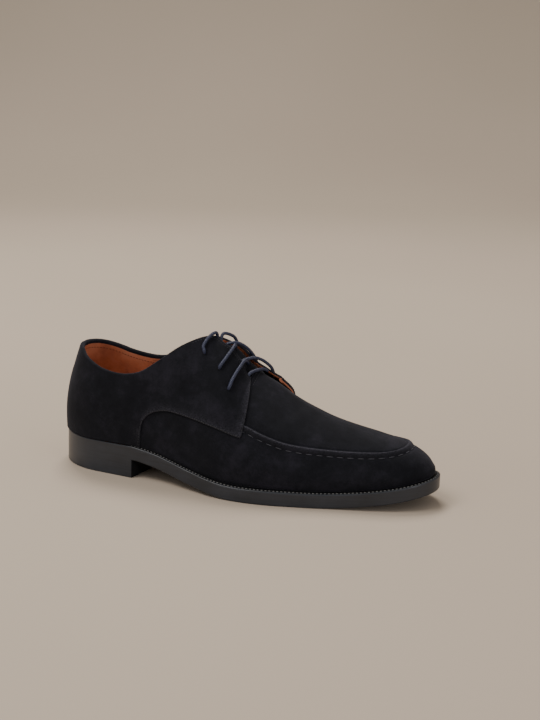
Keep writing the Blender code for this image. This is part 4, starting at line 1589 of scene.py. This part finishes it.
@dataclass
class Lace:
    """Round waxed lace through three pairs of eyelets, crossed twice, its ends tucked in."""

    shop: Workshop
    finishes: Finishes
    diameter: float = 2.5
    spacing: float = 0.8
    sides: int = 14
    end_round: float = 0.8
    stub: float = 1.2

    def smooth(self, points: Sequence[Sequence[float]], spacing: float) -> Array:
        """Points at even steps on the smooth curve through a strand's own points."""
        points = np.asarray(points, float)
        lengths = lengths_along(points)
        table = Table(("s", "x", "y", "z"),
                      tuple((s, *p) for s, p in zip(lengths.tolist(), points.tolist())))
        wanted = np.linspace(0.0, lengths[-1], max(int(round(lengths[-1] / spacing)), 2) + 1)
        return np.column_stack([table.read(name, wanted) for name in ("x", "y", "z")])

    def tube(self, route: Array, offset: int = 0) -> tuple[Array, list, Array]:
        """Work out a round strand along a route, with rounded ends.

        Args:
            route: Points along its middle.
            offset: Number of its first point.

        Returns:
            Its points, its faces, and each point's place on its map, in millimetres.
        """
        run = unit(np.gradient(route, axis=0))
        side = unit(np.cross(run[0], (0.0, 0.0, 1.0)) + 1e-6)
        rings, uvs = [], []
        lengths = lengths_along(route)
        turn = np.linspace(0.0, 2 * np.pi, self.sides + 1)
        girth = 3.14 * self.diameter
        for point, forward, length in zip(route, run, lengths):
            side = unit(side - forward * (side @ forward))
            up = np.cross(forward, side)
            near = min(length, lengths[-1] - length)
            short = 1 - min(near / self.end_round, 1.0)
            radius = self.diameter / 2 * math.sqrt(1 - short ** 2 * 0.75)
            round_way = np.cos(turn)[:, None] * side + np.sin(turn)[:, None] * up
            rings.append(point + radius * round_way)
            uvs.append(np.column_stack([np.full(self.sides + 1, length),
                                        turn / (2 * np.pi) * girth]))
        count = self.sides + 1
        points, uvs = np.concatenate(rings), np.concatenate(uvs)
        faces = [(offset + k * count + i, offset + (k + 1) * count + i,
                  offset + (k + 1) * count + i + 1, offset + k * count + i + 1)
                 for k in range(len(route) - 1) for i in range(self.sides)]
        last_ring = offset + (len(route) - 1) * count
        faces.append([offset + i for i in range(self.sides)])
        faces.append([last_ring + i for i in range(self.sides)][::-1])
        return points, [face[::-1] for face in faces], uvs

    def piece(self, name: str, routes: Sequence[Array], *nodes: str) -> Piece:
        """Build one object of lace.

        Args:
            name: Name of the piece.
            routes: The route of each of its strands.
            nodes: Names of the nodes that it stands for.

        Returns:
            The piece.
        """
        points, faces, uvs = [], [], []
        for route in routes:
            made = self.tube(route, sum(len(p) for p in points))
            points.append(made[0])
            faces += made[1]
            uvs.append(made[2])
        piece = self.shop.mesh(name, np.concatenate(points), faces, [self.finishes.lace],
                               uvs=np.concatenate(uvs))
        self.shop.tidy(piece, 80.0)
        return self.shop.finish(piece, "lace", *nodes)

    def through(self, route: Sequence[Sequence[float]], quarter: Surface) -> list[Array]:
        """Points that lead a strand from inside a facing through its eyelet."""
        hole, out, back = hole_of(route, quarter)
        return [hole - out * 3.4, hole - out * 1.2, hole + out * 0.6 - back * 0.35]

    def build_held(self, quarters: dict[Side, Surface]) -> list[Piece]:
        """Build what the shoe holds: both crossings, the bar, and the ends' way out.

        Args:
            quarters: The quarters' surfaces.

        Returns:
            The four pieces.
        """
        pieces = []
        for name, crossing in (("low", LOW_CROSSING), ("high", HIGH_CROSSING)):
            routes = [self.smooth([*self.through(strand, quarters[side]), *strand], self.spacing)
                      for strand, side in zip(crossing, Side)]
            pieces.append(self.piece(f"lace_{name}_strands", routes, f"lace_crossing_{name}"))
        bar = [(155.3, -14.2, 84.2), *BAR, (163.0, 9.6, 84.0)]
        pieces.append(self.piece("lace_bar_strand", [self.smooth(bar, self.spacing)], "lace_bar"))
        stubs = []
        for points, side in zip(ENDS, Side):
            first, second = np.array(points[0]), np.array(points[1])
            share = min(self.stub / np.linalg.norm(second - first), 1.0)
            inside = first + (second - first) * share
            stubs.append(self.smooth([*self.through(points, quarters[side]), first, inside], 0.5))
        pieces.append(self.piece("lace_eyelet_runs", stubs))
        return pieces

    def build_ends(self) -> list[Piece]:
        """Build the two ends, tucked into the throat."""
        pieces = []
        for name, points in zip(("outer", "inner"), ENDS):
            route = self.smooth(points, self.spacing)
            end = self.piece(f"lace_{name}_tail", [route], f"lace_end_{name}")
            path = self.shop.stand.world(route)
            pieces.append(end)
        return pieces


# ---------------------------------------------------------------- stitches
@dataclass(frozen=True)
class Stitch:
    """One kind of stitch: its pitch along the row, its length, and how thick the thread is."""

    pitch: float
    length: float
    thread: float


FINE = Stitch(2.1, 1.55, 0.42)
APRON = Stitch(7.4, 4.8, 0.7)
WELT = Stitch(2.9, 1.7, 0.85)
LINING = Stitch(2.6, 1.8, 0.5)


@dataclass
class Stitching:
    """Sets stitches along lines, with one tree of Geometry Nodes for every row."""

    shop: Workshop

    def tree(self) -> bpy.types.NodeTree:
        """Build the tree: rounded stitches at even steps along an edge line."""
        tree = bpy.data.node_groups.new("stitch row", "GeometryNodeTree")
        sockets = tree.interface
        sockets.new_socket("Geometry", in_out="INPUT", socket_type="NodeSocketGeometry")
        for name in ("Pitch", "Length", "Thread"):
            sockets.new_socket(name, in_out="INPUT", socket_type="NodeSocketFloat")
        sockets.new_socket("Finish", in_out="INPUT", socket_type="NodeSocketMaterial")
        sockets.new_socket("Geometry", in_out="OUTPUT", socket_type="NodeSocketGeometry")
        start = add_node(tree, "NodeGroupInput").outputs
        curve = add_node(tree, "GeometryNodeMeshToCurve", {"Mesh": start["Geometry"]})
        even = add_node(tree, "GeometryNodeCurveToPoints", {
            "Curve": curve.outputs["Curve"], "Length": start["Pitch"]}, mode="LENGTH")
        half = add_node(tree, "ShaderNodeMath", {0: start["Length"], 1: 0.5}, operation="MULTIPLY")
        stitch = add_node(tree, "GeometryNodeMeshUVSphere", {
            "Segments": 8, "Rings": 7, "Radius": 1.0})
        size = add_node(tree, "ShaderNodeCombineXYZ", {
            "X": start["Thread"], "Y": start["Thread"], "Z": half.outputs["Value"]})
        shaped = add_node(tree, "GeometryNodeTransform", {
            "Geometry": stitch.outputs["Mesh"], "Scale": size.outputs["Vector"]})
        smooth = add_node(tree, "GeometryNodeSetShadeSmooth", {
            "Geometry": shaped.outputs["Geometry"]})
        along = add_node(tree, "FunctionNodeAlignRotationToVector", {
            "Vector": even.outputs["Tangent"]}, axis="Z")
        placed = add_node(tree, "GeometryNodeInstanceOnPoints", {
            "Points": even.outputs["Points"], "Instance": smooth.outputs["Geometry"],
            "Rotation": along.outputs["Rotation"]})
        real = add_node(tree, "GeometryNodeRealizeInstances", {
            "Geometry": placed.outputs["Instances"]})
        dressed = add_node(tree, "GeometryNodeSetMaterial", {
            "Geometry": real.outputs["Geometry"], "Material": start["Finish"]})
        add_node(tree, "NodeGroupOutput", {"Geometry": dressed.outputs["Geometry"]})
        return tree

    def sew(self, name: str, rows: Sequence[Array], stitch: Stitch,
            material: Material, slot: str) -> Piece:
        """Sew rows of one kind of stitch into one piece.

        Args:
            name: Name of the piece.
            rows: Each row's line over the leather.
            stitch: The kind of stitch.
            material: Material of the thread.
            slot: Not used.

        Returns:
            The piece.
        """
        points, edges = [], []
        for row in rows:
            start = len(points)
            points += self.shop.stand.world(row).tolist()
            edges += [(start + i, start + i + 1) for i in range(len(row) - 1)]
        mesh = bpy.data.meshes.new(name)
        mesh.from_pydata(points, edges, [])
        line = put_in_scene(name + "_line", mesh)
        tree = bpy.data.node_groups.get("stitch row") or self.tree()
        modifier = line.modifiers.new("stitches", "NODES")
        modifier.node_group = tree
        values = {"Pitch": stitch.pitch * MM, "Length": stitch.length * MM,
                  "Thread": stitch.thread / 2 * MM, "Finish": material}
        for item in tree.interface.items_tree:
            if item.item_type == "SOCKET" and item.in_out == "INPUT" and item.name in values:
                modifier[item.identifier] = values[item.name]
        graph = bpy.context.evaluated_depsgraph_get()
        made = bpy.data.meshes.new_from_object(line.evaluated_get(graph))
        bpy.data.objects.remove(line)
        made.name = name
        if not made.materials:
            made.materials.append(material)
        return self.shop.finish(put_in_scene(name, made), slot)


@dataclass
class Eyelets:
    """Holes punched in the facings: a pressed rim around a dark disc, painted shade that stands
    for the hole.
    """

    shop: Workshop
    finishes: Finishes
    radius: float = 1.75
    rim: float = 0.34
    rim_rings: int = 4
    sides: int = 20

    def ring(self, centre: Array, normal: Array, start: int) -> tuple[Array, list]:
        """Work out one eyelet.

        Args:
            centre: Its centre on the facing.
            normal: The facing's normal there.
            start: Number of its first point.

        Returns:
            Its points and its faces.
        """
        along = unit(np.cross(normal, (0.0, 0.0, 1.0)))
        across = np.cross(normal, along)
        profile = [(0.0, -0.3), (self.radius + self.rim, -0.3),
                   (self.radius + 0.7 * self.rim, 0.12), (self.radius, 0.24),
                   (self.radius - 0.7 * self.rim, 0.14), (self.radius - self.rim, 0.06),
                   (0.0, 0.05)]
        turn = np.linspace(0, 2 * np.pi, self.sides, endpoint=False)
        round_way = np.cos(turn)[:, None] * along + np.sin(turn)[:, None] * across
        points = np.concatenate([centre + round_way * size + normal * rise
                                 for size, rise in profile])
        faces = [(start + k * self.sides + i, start + k * self.sides + (i + 1) % self.sides,
                  start + (k + 1) * self.sides + (i + 1) % self.sides,
                  start + (k + 1) * self.sides + i)
                 for k in range(len(profile) - 1) for i in range(self.sides)]
        return points, faces

    def build(self, quarters: dict[Side, Surface]) -> Piece:
        """Build the six eyelets where the strands come out.

        Args:
            quarters: The quarters' surfaces.

        Returns:
            The piece.
        """
        starts = [(side, strands[k]) for k, side in enumerate(Side)
                  for strands in (LOW_CROSSING, HIGH_CROSSING, ENDS)]
        points, faces = [], []
        for side, route in starts:
            centre, normal, _ = hole_of(route, quarters[side])
            made = self.ring(centre, normal, sum(len(p) for p in points))
            points.append(made[0])
            faces += made[1]
        each = len(faces) // len(starts)
        # Faces inside the rim take the dark sole-bottom finish: painted shade in place of the
        # hole.
        slots = [int(i % each >= self.rim_rings * self.sides) for i in range(len(faces))]
        piece = self.shop.mesh("eyelet_rims", np.concatenate(points), faces,
                               [self.finishes.suede, self.finishes.tread], slots)
        self.shop.tidy(piece)
        return self.shop.finish(piece, "suede")


@dataclass
class Seams:
    """Where the shoe is sewn: each row's line over the leather."""

    last: Last
    shop: Workshop
    finishes: Finishes
    apron_drop: float = 4.0
    seam_rows: tuple[float, ...] = (1.6, 3.8)
    facing_row: float = 1.4
    welt_inset: float = 1.8
    welt_start: float = 70.0
    throat_rows: tuple[float, ...] = (1.6, 3.4)
    grip_start: float = 30.0
    binding: float = 6.0
    fine_lift: float = 0.05
    apron_lift: float = 0.12
    welt_lift: float = 0.15
    lining_lift: float = 0.12

    def quarter_rows(self, side: Side, edges: dict[str, Array],
                     quarter: Surface) -> list[Array]:
        """Rows of fine stitches on one quarter.

        Args:
            side: Side of the foot.
            edges: The quarter's lower, front and top edges.
            quarter: Its surface.

        Returns:
            The line of each row.
        """
        inwards = -side.value
        top = edges["top"]
        facing = top[top[:, 0] > FACING_START]
        lines = [(edges["lower"][:-2], inwards * row) for row in self.seam_rows]
        lines.append((edges["front"][6:-2], inwards * self.seam_rows[0]))
        lines.append((facing[:-2], -inwards * self.facing_row))
        return [quarter.beside(line, distance, self.fine_lift) for line, distance in lines]

    def at_heights(self, places: Sequence[tuple[float, Side, float]]) -> Array:
        """Points of the last, each at x of a section's foot, on a side and at a height."""
        points = []
        for x, side, height in places:
            section = self.last.section(x, side)
            points.append(section.at(np.array([section.length_at_height(height)])))
        return np.concatenate(points)

    def lining_rows(self, lining: Surface) -> list[Array]:
        """Rows inside the collar: along the top line and where the heel grip ends.

        Args:
            lining: The lining's surface.

        Returns:
            The line of each row.
        """
        round_heel = np.concatenate([self.last.heel_stations(24), np.arange(42.5, 110.0, 2.5)])
        lines = [self.at_heights([(x, side, topline(x, side) - self.binding)
                                  for x, side in shoe_loop(round_heel)])]
        for side in Side:
            heights = np.arange(self.grip_start, topline(60.0, side) - self.binding, 2.0)
            lines.append(self.at_heights([(grip_edge(z) + 1.0, side, z) for z in heights]))
        rows = []
        for line in lines:
            on, _ = lining.lay(line)
            middle = np.column_stack([on[:, 0], CREST_TABLE.read("ridge", on[:, 0]), on[:, 2]])
            rows.append(on + unit(middle - on) * self.lining_lift)
        return rows

    def build(self, vamp: Vamp, skin: Surface, quarters: Quarters, sheets: dict[Side, Surface],
              lining: Surface) -> list[Piece]:
        """Sew every row.

        Args:
            vamp: The vamp, for its lines.
            skin: Its surface.
            quarters: The quarters, for their edges.
            sheets: Their surfaces.
            lining: The lining's surface.

        Returns:
            The four pieces of thread.
        """
        sewing = Stitching(self.shop)
        fine = []
        for side in Side:
            fine += self.quarter_rows(side, quarters.edges[side], sheets[side])
        fine += [skin.lay(vamp.throat_line(row), self.fine_lift)[0] for row in self.throat_rows]
        apron = skin.lay(vamp.seam_line(self.apron_drop), self.apron_lift)[0]
        plan = self.last.outline(level(self.welt_inset))
        shown = plan[plan[:, 0] > self.welt_start]
        welt_top = self.last.feather(shown[:, 0]) - self.last.gap + self.welt_lift
        welt = np.column_stack([shown, welt_top])
        threads = self.finishes
        return [
            sewing.sew("quarter_stitches", fine, FINE, threads.fine_thread, "suede"),
            sewing.sew("apron_stitches", [apron], APRON, threads.apron_thread, "suede"),
            sewing.sew("welt_stitches", [welt], WELT, threads.welt_thread, "sole_leather"),
            sewing.sew("lining_stitches", self.lining_rows(lining), LINING, threads.lining_thread,
                       "lining"),
        ]


# ---------------------------------------------------------------- floor, light and camera
@dataclass(frozen=True)
class Panel:
    """Square soft light that points at the shoe; its place and size are in metres."""

    name: str
    place: tuple[float, float, float]
    size: float
    power: float
    colour: str

    def build(self) -> None:
        """Build the light."""
        data = bpy.data.lights.new(self.name, "AREA")
        data.shape = "SQUARE"
        data.size = self.size
        data.energy = self.power
        data.color = linear(self.colour)[:3]
        panel = put_in_scene(self.name, data)
        panel.location = self.place
        panel.rotation_euler = (Vector(self.place) * -1).to_track_quat("-Z", "Y").to_euler()


PANELS = (
    Panel("key panel", (-0.95, -0.8, 1.9), 1.0, 22.0, "fdf7f1"),
    Panel("top panel", (-0.55, 0.9, 1.85), 0.8, 32.0, "fdf7f1"),
    Panel("left strip", (-0.9, -1.8, 0.5), 0.6, 3.5, "f6f7ff"),
    Panel("right strip", (1.9, -1.1, 0.5), 0.5, 8.0, "f6f7ff"),
)


@dataclass
class Studio:
    """Pale floor, soft light that comes mostly from above and the left, and the camera."""

    stand: Stand
    place: tuple[float, float, float] = (514.1, -1000.3, 346.2)
    azimuth: float = 19.096
    elevation: float = 13.330
    roll: float = 1.976
    lens: float = 71.97
    film: float = 36.0
    sky: str = "fbf6ef"
    sky_strength: float = 0.55
    floor_half: float = 6.0
    sweep_start: float = 1.6
    sweep_radius: float = 1.4

    def build_floor(self) -> None:
        """Build the floor, which sweeps up into a wall well behind the shoe."""
        turn = math.radians(self.azimuth)
        away = np.array([-math.sin(turn), math.cos(turn)])
        aside = np.array([math.cos(turn), math.sin(turn)])
        bend = [(self.sweep_start + self.sweep_radius * math.sin(t),
                 self.sweep_radius * (1 - math.cos(t))) for t in np.linspace(0, math.pi / 2, 25)]
        wall = self.sweep_start + self.sweep_radius
        profile = [(-self.floor_half, 0.0), (0.0, 0.0)] + bend + [(wall, self.floor_half)]
        points = [(*(away * run + aside * self.floor_half * end), height)
                  for run, height in profile for end in (-1, 1)]
        faces = [(2 * i, 2 * i + 1, 2 * i + 3, 2 * i + 2) for i in range(len(profile) - 1)]
        mesh = bpy.data.meshes.new("floor")
        mesh.from_pydata(points, [], faces)
        mesh.materials.append(Plaster().build())
        mesh.shade_smooth()
        floor = put_in_scene("floor", mesh)

    def build_camera(self) -> None:
        """Build the camera at the shoe's viewing angle."""
        data = bpy.data.cameras.new("camera")
        data.sensor_fit = "AUTO"
        data.sensor_width = self.film
        data.lens = self.lens
        data.clip_end = 100.0
        azimuth, elevation = math.radians(self.azimuth), math.radians(self.elevation)
        back = Vector((math.sin(azimuth) * math.cos(elevation),
                       -math.cos(azimuth) * math.cos(elevation), math.sin(elevation)))
        right = Vector((math.cos(azimuth), math.sin(azimuth), 0.0))
        up = back.cross(right)
        turn = math.radians(self.roll)
        right, up = (right * math.cos(turn) + up * math.sin(turn),
                     up * math.cos(turn) - right * math.sin(turn))
        matrix = Matrix((right, up, back)).transposed().to_4x4()
        matrix.translation = Vector(self.stand.world(np.array([self.place]))[0])
        camera = put_in_scene("camera", data)
        camera.matrix_world = matrix
        bpy.context.scene.camera = camera

    def build_light(self) -> None:
        """Build an even sky and the panels."""
        world = bpy.data.worlds.new("studio")
        world.use_nodes = True
        sky = world.node_tree.nodes["Background"]
        set_inputs(world.node_tree, sky, {
            "Color": linear(self.sky), "Strength": self.sky_strength})
        bpy.context.scene.world = world
        for panel in PANELS:
            panel.build()


def main() -> None:
    """Build the shoe's looks, piece by piece."""
    logging.basicConfig(level=logging.INFO, format="%(name)s: %(message)s")
    last = Last()
    stand = Stand.of(last)
    shop = Workshop(stand)
    finishes = Finishes()
    studio = Studio(stand)
    studio.build_camera()
    studio.build_floor()
    studio.build_light()
    lace = Lace(shop, finishes)
    lace.build_ends()
    vamp = Vamp(last, shop, finishes)
    skin = Surface.of(stand, vamp.build())
    quarters = Quarters(last, shop, finishes)
    sheets = {side: Surface.of(stand, quarters.build(side)) for side in Side}
    lace.build_held(sheets)
    Eyelets(shop, finishes).build(sheets)
    inside = Inside(last, shop, finishes, quarters)
    lining = Surface.of(stand, inside.build_lining())
    inside.build_tongue()
    Seams(last, shop, finishes).build(vamp, skin, quarters, sheets, lining)
    Sole(last, shop, finishes).build()
    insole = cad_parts["insole"]
    insole.data.materials.clear()
    insole.data.materials.append(finishes.lining)


if __name__ == "__main__":
    main()
